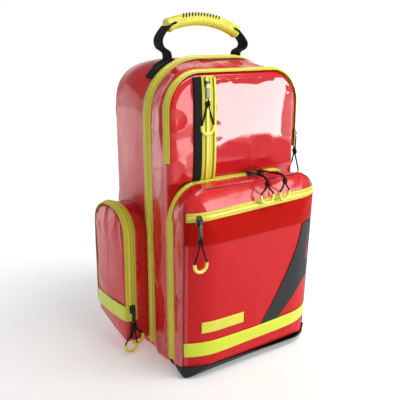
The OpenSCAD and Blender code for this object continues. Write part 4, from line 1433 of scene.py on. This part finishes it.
def front_parts():
    """What lies on the pocket's face; the zip and the band rise to the right."""
    half = 0.133
    on_face("level_zip_tape", -half, half, 0.2682, 0.2822, 0.0012, "zip", nx=140,
            nz=9, rise=0.008)
    on_face("level_zip_coil", -half, half, 0.2730, 0.2774, 0.0030, "coil", nx=220,
            nz=5, thick=0.0014, rise=0.008)
    half += 0.002
    on_face("pile_band", -half, half, 0.2300, 0.2678, 0.0016, "pile",
            ["loop_band"], nx=120, nz=16, thick=0.0014, rise=0.003, grow=0.005)
    on_face("front_strip", -half, half, 0.0395, 0.0640, 0.0014, "strip",
            ["pocket_strip"], nx=150, nz=12, grow=-0.001,
            layers=[(0.0004, (0.03, 0.05, 0.014), 91, True, None)])
    on_face("blank_label", -0.110, -0.029, 0.0800, 0.0990, 0.0014, "label",
            ["label_patch"], nx=30, nz=8)
    # dark tube round the face's outline: partly its real seam, partly painted shadow in the fold at
    # the face's edge
    p, _ = ring(*FACE, 0.0012)
    seam = np.stack([p[:, 0], np.full(len(p), FACE_Y - 0.0002), p[:, 1]], -1)
    tube("face_seam_shadow_line", settle_forward(seam[p[:, 1] > 0.018]), 0.0008, "seam", POCKET,
         around=6)
    on_face("grey_slash", 0, 0, 0.0600, 0.2300, 0.0008, "grey", nx=26, nz=90,
            thick=0.0006, edges=slash_edges)


# ---------------------------------------------------------------- linings and hardware
def walls():
    filled("lid_front_wall", FRONT, MID_Y + 0.0016, "tarp", LID, [], 0.0012, 0.0,
           4, thick=0.0015)
    filled("lid_back_wall", FRONT, MID_Y + 0.0125, "lining", LID,
           ["lid_partition"], 0.006, 0.001, 1, True)
    filled("lid_mesh_pocket", (0.250, 0.470, 0.08, FOOT_R), ZIP_Y - 0.009, "mesh", LID,
           [], 0.002, 0.002, 2, True, 0.0016)
    filled("back_quilt", (W - 0.042, 0.478, 0.045, FOOT_R), REAR_Y - 0.0022, "mesh", ROOT,
           ["back_panel"], 0.0, 0.002, 3, True, 0.004, 0.075)


def inner_fittings():
    """Padded shelf and the row of elastic loops inside the main compartment."""
    lo, hi = corners("inner_shelf")
    X, Y = np.meshgrid(np.linspace(lo[0], hi[0], 40), np.linspace(hi[1], lo[1], 20))
    edge = np.minimum(np.minimum(X - lo[0], hi[0] - X), np.minimum(Y - lo[1], hi[1] - Y))
    G = np.stack([X, Y, hi[2] - 0.004 + 0.004 * crest(edge / 0.012)], -1)
    settle(sheet_of("shelf_pad", crumple(G, [(0.0006, 0.04, 95, False, None)]), "lining", 0.006,
                    flip=True), ROOT, ["inner_shelf"])
    lo, hi = corners("elastic_loops")
    loop_pitch = 0.034
    row = []
    for x in np.linspace(lo[0], hi[0], 180):
        f = ((x - lo[0]) % loop_pitch) / loop_pitch
        row.append((x, hi[1] - 0.0012 - 0.0125 * max(math.sin(math.pi * f), 0) ** 0.7,
                    (lo[2] + hi[2]) / 2))
    web("elastic_row", row, (0, 0, -1), 0.030, ROOT, nodes=["elastic_loops"], t=0.0012)


def finish_hardware():
    """Buckles, ladder locks and sliders keep their own shape and get a finish."""
    moulded_nodes = ("ladder_locks", "hip_socket", "sternum_socket", "hip_plug", "sternum_plug")
    for node, ob in frame["nodes"].items():
        if node in moulded_nodes or "slider" in node:
            for s in ob.material_slots:
                s.material = M["metal" if "slider" in node else "plastic"]


def studio_ground():
    n, r, z = 48, 12, -0.0002
    rim = [(r * math.cos(a), r * math.sin(a), z) for a in np.linspace(0, 2 * math.pi, n, False)]
    add_mesh("floor", [(0, 0, z)] + rim,
                      [(0, i + 1, (i + 1) % n + 1) for i in range(n)], "floor")


# ---------------------------------------------------------------- making
rear_body()
lid_cover()
upper_cover()
pocket_cover()
boot_cover()
for side, tag in SIDES:
    side_pocket(side, tag)
body_zips()
window_parts()
front_parts()
walls()
back_pads()
hip_fins()
straps()
buckle_webbing()
handle()
all_pulls()
inner_fittings()
finish_hardware()
studio_ground()
